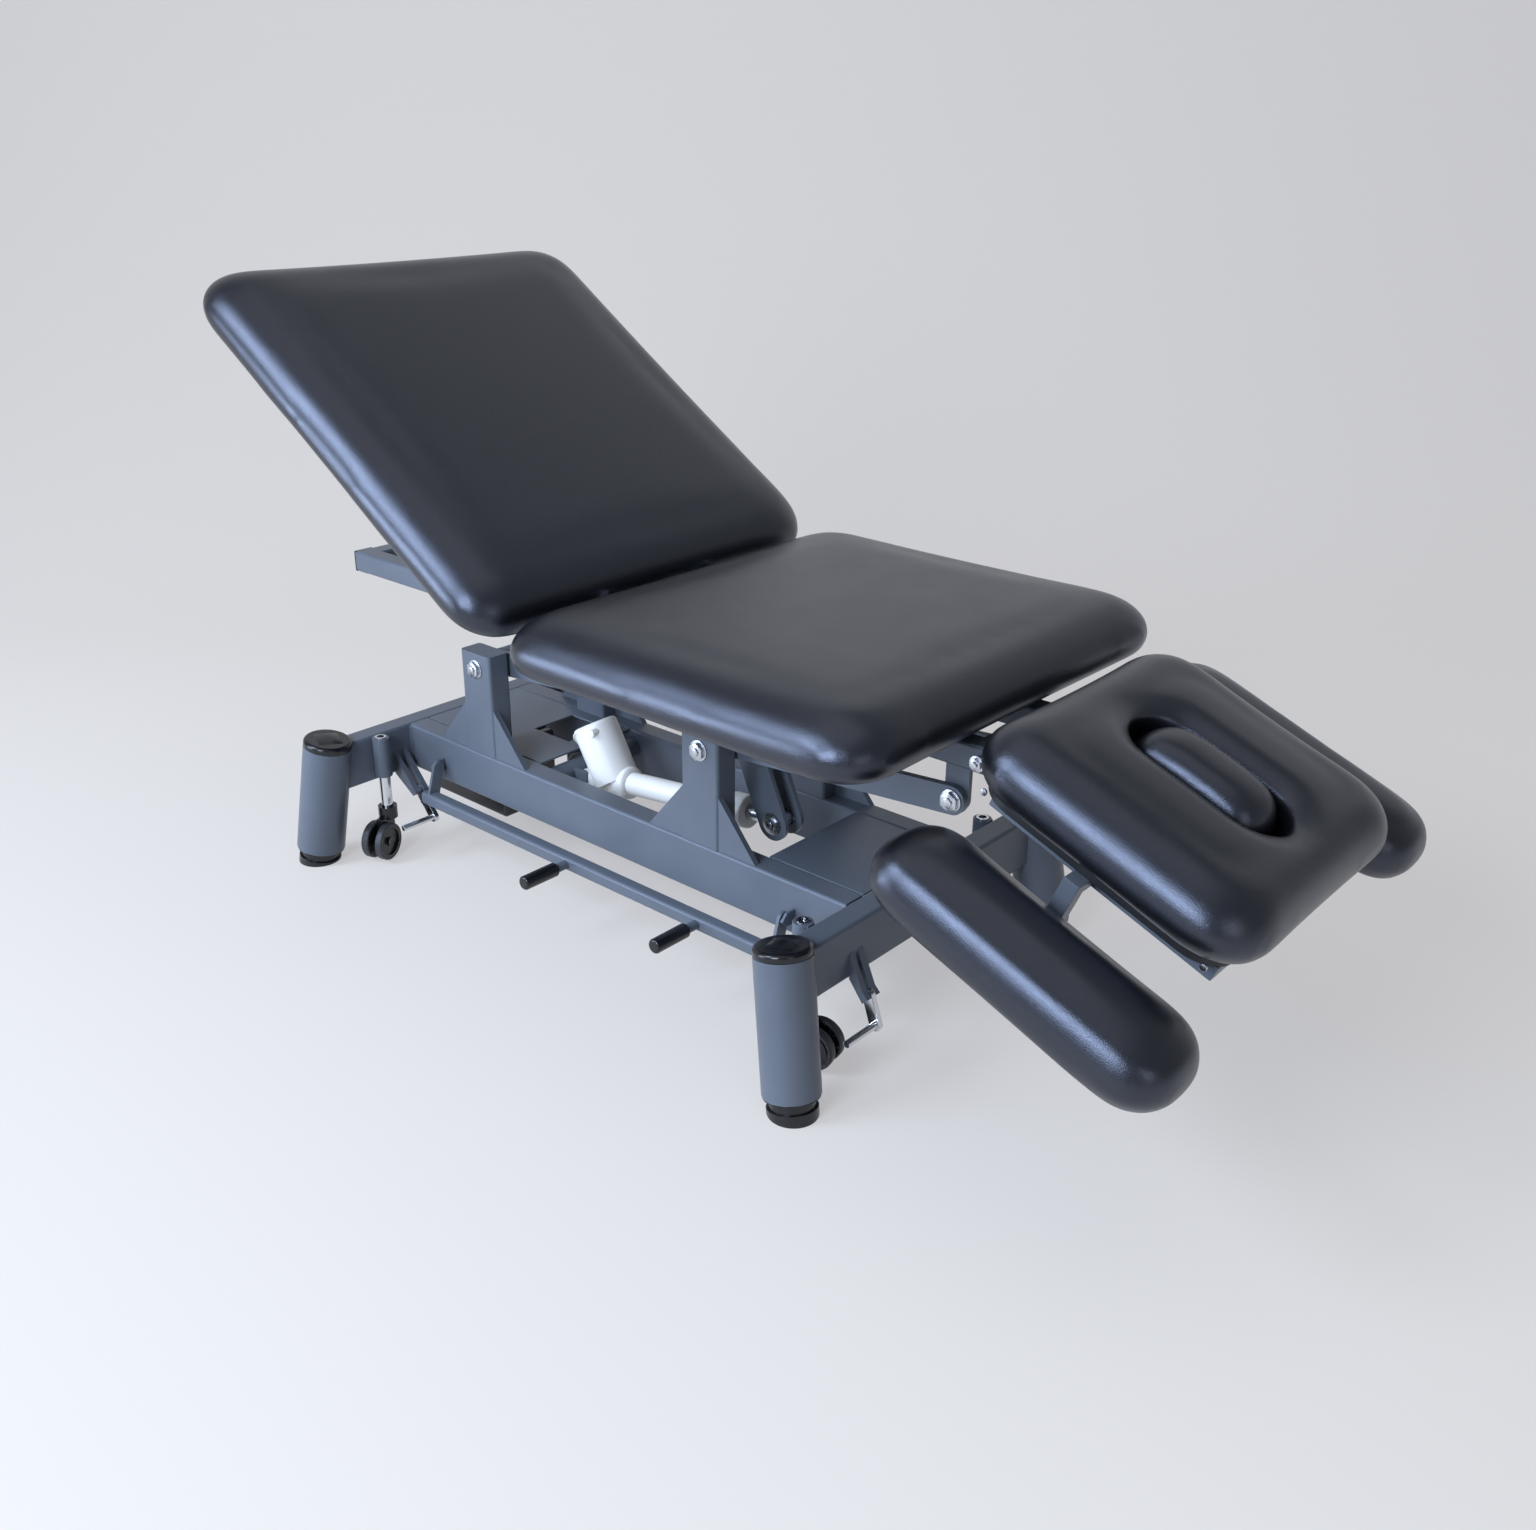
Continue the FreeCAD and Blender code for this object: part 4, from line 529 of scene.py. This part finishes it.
seam_lean = math.radians(42)
seam_width = 0.0022
seam_proud = 0.0007
seam_edge = 0.0006
seam_up = 0.55 * motor_length
seam_place = Matrix.Translation(motor_foot + seam_up * motor_axis)
lean_over = Matrix.Rotation(-seam_lean, 4, "Y")
stretch = Matrix.Diagonal((1 / math.cos(seam_lean), 1, 1, 1))
bm = bmesh.new()
bmesh.ops.create_cone(bm, cap_ends=True, segments=64, radius1=motor_radius + seam_proud,
                      radius2=motor_radius + seam_proud, depth=seam_width,
                      matrix=seam_place @ motor_turn @ lean_over @ stretch)
boss_radius = 0.0075
boss_depth = 0.016
boss_up = 0.82 * motor_length
boss_out = Vector((0.030, -0.030, 0.013))
boss_place = Matrix.Translation(motor_foot + boss_up * motor_axis + boss_out)
bmesh.ops.create_cone(bm, cap_ends=True, segments=32, radius1=boss_radius, radius2=boss_radius,
                      depth=boss_depth, matrix=boss_place @ Matrix.Rotation(math.pi / 2, 4, "X"))
ease_edges(bm, seam_edge)
motor_seam = new_piece("motor_seam_and_boss", bm, white_plastic)
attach(motor_seam, frame["nodes"]["drive_motor"]["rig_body"])

# Boards under the pads: plywood, sprayed black, screwed to the frame from below.
# The sprayed coat is thin, so the grain of the outer ply still shows a little.
board_black, tree, shader = new_material("black_sprayed_plywood")
place = add_node(tree, "ShaderNodeTexCoord")
ply_width = 0.01
ply = add_node(tree, "ShaderNodeTexNoise", [("Vector", place.outputs["Object"])],
               [("Scale", 1 / ply_width), ("Detail", 5.0)])
ply_bump = add_node(tree, "ShaderNodeBump", [("Height", ply.outputs["Fac"])],
                    [("Strength", 0.2), ("Distance", 0.0006)])
tree.links.new(ply_bump.outputs["Normal"], shader.inputs["Normal"])
shader.inputs["Base Color"].default_value = linear("#1B1C1F")
shader.inputs["Roughness"].default_value = 0.55
board_edge = 0.001
for node in ("seat_board", "back_board", "head_board"):
    eased(node, board_edge, board_black)

# Pads: foam on a board, covered in black upholstery vinyl pulled tight and stapled underneath.
# The cover is blown up from a slightly smaller form as cloth, then held near the foam's shape.
# Vinyl is embossed with a fine leather grain and has a satin skin.
vinyl, tree, shader = new_material("embossed_upholstery_vinyl")
place = add_node(tree, "ShaderNodeTexCoord")
grain_width = 0.0026
grain = add_node(tree, "ShaderNodeTexVoronoi", [("Vector", place.outputs["Object"])],
                 [("Scale", 1 / grain_width), ("Randomness", 1.0)], feature="DISTANCE_TO_EDGE")
crease = add_node(tree, "ShaderNodeMapRange", [("Value", grain.outputs["Distance"])],
                  [("From Min", 0.0), ("From Max", 0.25)])
pull_width = 0.07
pull = add_node(tree, "ShaderNodeTexNoise", [("Vector", place.outputs["Object"])],
                [("Scale", 1 / pull_width), ("Detail", 3.0)])
vinyl_gloss = add_node(tree, "ShaderNodeMapRange", [("Value", pull.outputs["Fac"])],
                       noise_span + [("To Min", 0.28), ("To Max", 0.32)])
grain_bump = add_node(tree, "ShaderNodeBump", [("Height", crease.outputs["Result"])],
                      [("Strength", 0.2), ("Distance", 0.0004)])
tree.links.new(vinyl_gloss.outputs["Result"], shader.inputs["Roughness"])
tree.links.new(grain_bump.outputs["Normal"], shader.inputs["Normal"])
shader.inputs["Base Color"].default_value = linear("#0F1013")
shader.inputs["Specular IOR Level"].default_value = 1.0
shader.inputs["Specular Tint"].default_value = linear("#DDE6FF")


def smooth_all(bm, rounds):
    """Relax every vertex towards its neighbours."""
    for _ in range(rounds):
        bmesh.ops.smooth_vert(bm, verts=bm.verts, factor=0.5, use_axis_x=True, use_axis_y=True,
                              use_axis_z=True)


def box_of(bm):
    """Lowest and highest corner of a mesh."""
    return [Vector([pick(vert.co[axis] for vert in bm.verts) for axis in range(3)])
            for pick in (min, max)]


def blow_up(pad, stapled_height, cap):
    """Press the cover outwards as cloth, with its underside stapled down, by no more than cap."""
    stapled = pad.vertex_groups.new(name="stapled")
    stapled.add([vert.index for vert in pad.data.vertices if vert.co.z < stapled_height], 1.0, "REPLACE")
    start = [vert.co.copy() for vert in pad.data.vertices]
    cloth = pad.modifiers.new("cover", "CLOTH")
    cloth.settings.vertex_group_mass = "stapled"
    cloth.settings.use_pressure = True
    cloth.settings.uniform_pressure_force = 6.0
    cloth.settings.shrink_min = 0.03
    cloth.settings.effector_weights.gravity = 0.0
    cloth.settings.quality = 4
    last_step = 20
    cloth.point_cache.frame_start = 1
    cloth.point_cache.frame_end = last_step
    for step in range(1, last_step + 1):
        scene.frame_set(step)
    blown = bpy.data.meshes.new_from_object(pad.evaluated_get(bpy.context.evaluated_depsgraph_get()))
    scene.frame_set(1)
    pad.modifiers.remove(cloth)
    for vert, first in zip(blown.vertices, start):
        moved = vert.co - first
        vert.co = first + moved * min(1.0, cap / max(moved.length, 1e-9))
    pad.data = blown


def covered_pad(node, name, place, voxel, lean, shape=None):
    """Vinyl-covered pad from its CAD node: remeshed in its own level frame, blown up, brought to size.

    The top edges are drawn in by lean, because the pull of the cover rounds the foam most there."""
    bm = node_copy(node)
    bmesh.ops.transform(bm, matrix=place.inverted(), verts=bm.verts)
    solid_low, solid_high = box_of(bm)
    raw = new_piece(name + "_foam", bm)
    remesh = raw.modifiers.new("even", "REMESH")
    remesh.mode = "VOXEL"
    remesh.voxel_size = voxel
    bpy.context.view_layer.update()
    even = bpy.data.meshes.new_from_object(raw.evaluated_get(bpy.context.evaluated_depsgraph_get()))
    bpy.data.objects.remove(raw)
    bm = bmesh.new()
    bm.from_mesh(even)
    rounds_before = 16
    smooth_all(bm, rounds_before)
    bm.normal_update()
    slack = 0.003
    for vert in bm.verts:
        vert.co -= vert.normal * slack
    pad = new_piece(name, bm)
    blow_up(pad, solid_low.z + 2 * voxel, slack)
    bm = bmesh.new()
    bm.from_mesh(pad.data)
    rounds_after = 10
    smooth_all(bm, rounds_after)
    low, high = box_of(bm)
    widest = 0.2
    for vert in bm.verts:
        for axis in range(3):
            share = (vert.co[axis] - low[axis]) / (high[axis] - low[axis])
            vert.co[axis] = solid_low[axis] + share * (solid_high[axis] - solid_low[axis])
        rise = max((vert.co.z - solid_low.z) / (solid_high.z - solid_low.z) - widest, 0.0) / (1 - widest)
        for axis in range(2):
            half = (solid_high[axis] - solid_low[axis]) / 2
            out = (vert.co[axis] - solid_low[axis]) / half - 1
            vert.co[axis] -= lean * rise ** 2 * out * abs(out) ** 3
        if shape:
            vert.co = shape(vert.co, solid_low, solid_high)
    bmesh.ops.transform(bm, matrix=place, verts=bm.verts)
    for face in bm.faces:
        face.smooth = True
    for edge in bm.edges:
        edge.smooth = True
    bm.to_mesh(pad.data)
    bm.free()
    pad.data.materials.clear()
    pad.data.materials.append(vinyl)
    finer = pad.modifiers.new("smooth", "SUBSURF")
    finer.levels = finer.render_levels = 1
    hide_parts(node)
    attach(pad, frame["nodes"][node]["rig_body"])
    return pad


back_rise = math.radians(32.8)
level = Matrix.Translation(joints["back_tilt"]["pos_m"])
back_turn = level @ Matrix.Rotation(back_rise, 4, "Y")
wide_pad = {"voxel": 0.009, "lean": 0.029}
covered_pad("seat_pad", "seat_cushion", level, **wide_pad)
covered_pad("back_pad", "back_cushion", back_turn, **wide_pad)

# Head pad, its face plug and the armrests: the same vinyl over foam, on a hinged frame.
# The cover rolls down into the face opening, and the loose plug is a loaf that fills it.
head_drop = math.radians(22.0)
head_turn = Matrix.Translation(joints["head_tilt"]["pos_m"]) @ Matrix.Rotation(head_drop, 4, "Y")
opening_middle = 0.248
opening_half = 0.118
opening_radius = 0.052
valley_width = 0.048
valley_depth = 0.005
plug_length_share = 0.93
plug_width_share = 1.08
plug_droop = 0.024


def roll_into_opening(spot, low, high):
    """Sink the cover towards the rim of the face opening."""
    straight = max(abs(spot.x - opening_middle) - (opening_half - opening_radius), 0.0)
    away = math.hypot(straight, spot.y) - opening_radius
    near = 1.0 - min(max(away / valley_width, 0.0), 1.0)
    lift = min(max((spot.z - low.z) / (high.z - low.z) * 2 - 1, 0.0), 1.0)
    return spot - Vector((0, 0, valley_depth * near * near * (3 - 2 * near) * lift))


def loaf(spot, low, high):
    """Round a plug's ends down and keep them short of the opening's ends."""
    middle = (low.x + high.x) / 2
    reach = (spot.x - middle) / ((high.x - low.x) / 2)
    lift = (spot.z - low.z) / (high.z - low.z)
    return Vector((middle + (spot.x - middle) * plug_length_share, spot.y * plug_width_share,
                   spot.z - plug_droop * abs(reach) ** 3 * lift))


covered_pad("head_pad", "head_cushion", head_turn, voxel=0.007, lean=0.022, shape=roll_into_opening)
covered_pad("face_plug", "face_plug_cushion", head_turn, voxel=0.005, lean=0.0, shape=loaf)
for side in SIDES:
    covered_pad(f"{side}_armrest_pad", f"{side}_armrest_cushion", head_turn, voxel=0.006, lean=0.014)

# Bolts in the head board's edges: small zinc plated heads, one near each end of each side.
# They hold the board to the side bars of the head frame.
bolt_inset = 0.018
bolt_head = 0.0052
bolt_rise = 0.0035
bolt_edge = 0.0012
bm = node_copy("head_board")
bmesh.ops.transform(bm, matrix=head_turn.inverted(), verts=bm.verts)
board_low, board_high = box_of(bm)
bm.clear()
for edge_y, sign in ((board_low.y, -1), (board_high.y, 1)):
    for bolt_x in (board_low.x + bolt_inset, board_high.x - bolt_inset):
        spot = Vector((bolt_x, edge_y + sign * bolt_rise / 2, (board_low.z + board_high.z) / 2))
        bmesh.ops.create_cone(bm, cap_ends=True, segments=24, radius1=bolt_head, radius2=bolt_head,
                              depth=bolt_rise, matrix=Matrix.Translation(spot)
                              @ Matrix.Rotation(-sign * math.pi / 2, 4, "X"))
ease_edges(bm, bolt_edge)
bmesh.ops.transform(bm, matrix=head_turn, verts=bm.verts)
board_bolts = new_piece("head_board_bolts", bm, zinc)
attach(board_bolts, frame["nodes"]["head_board"]["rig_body"])
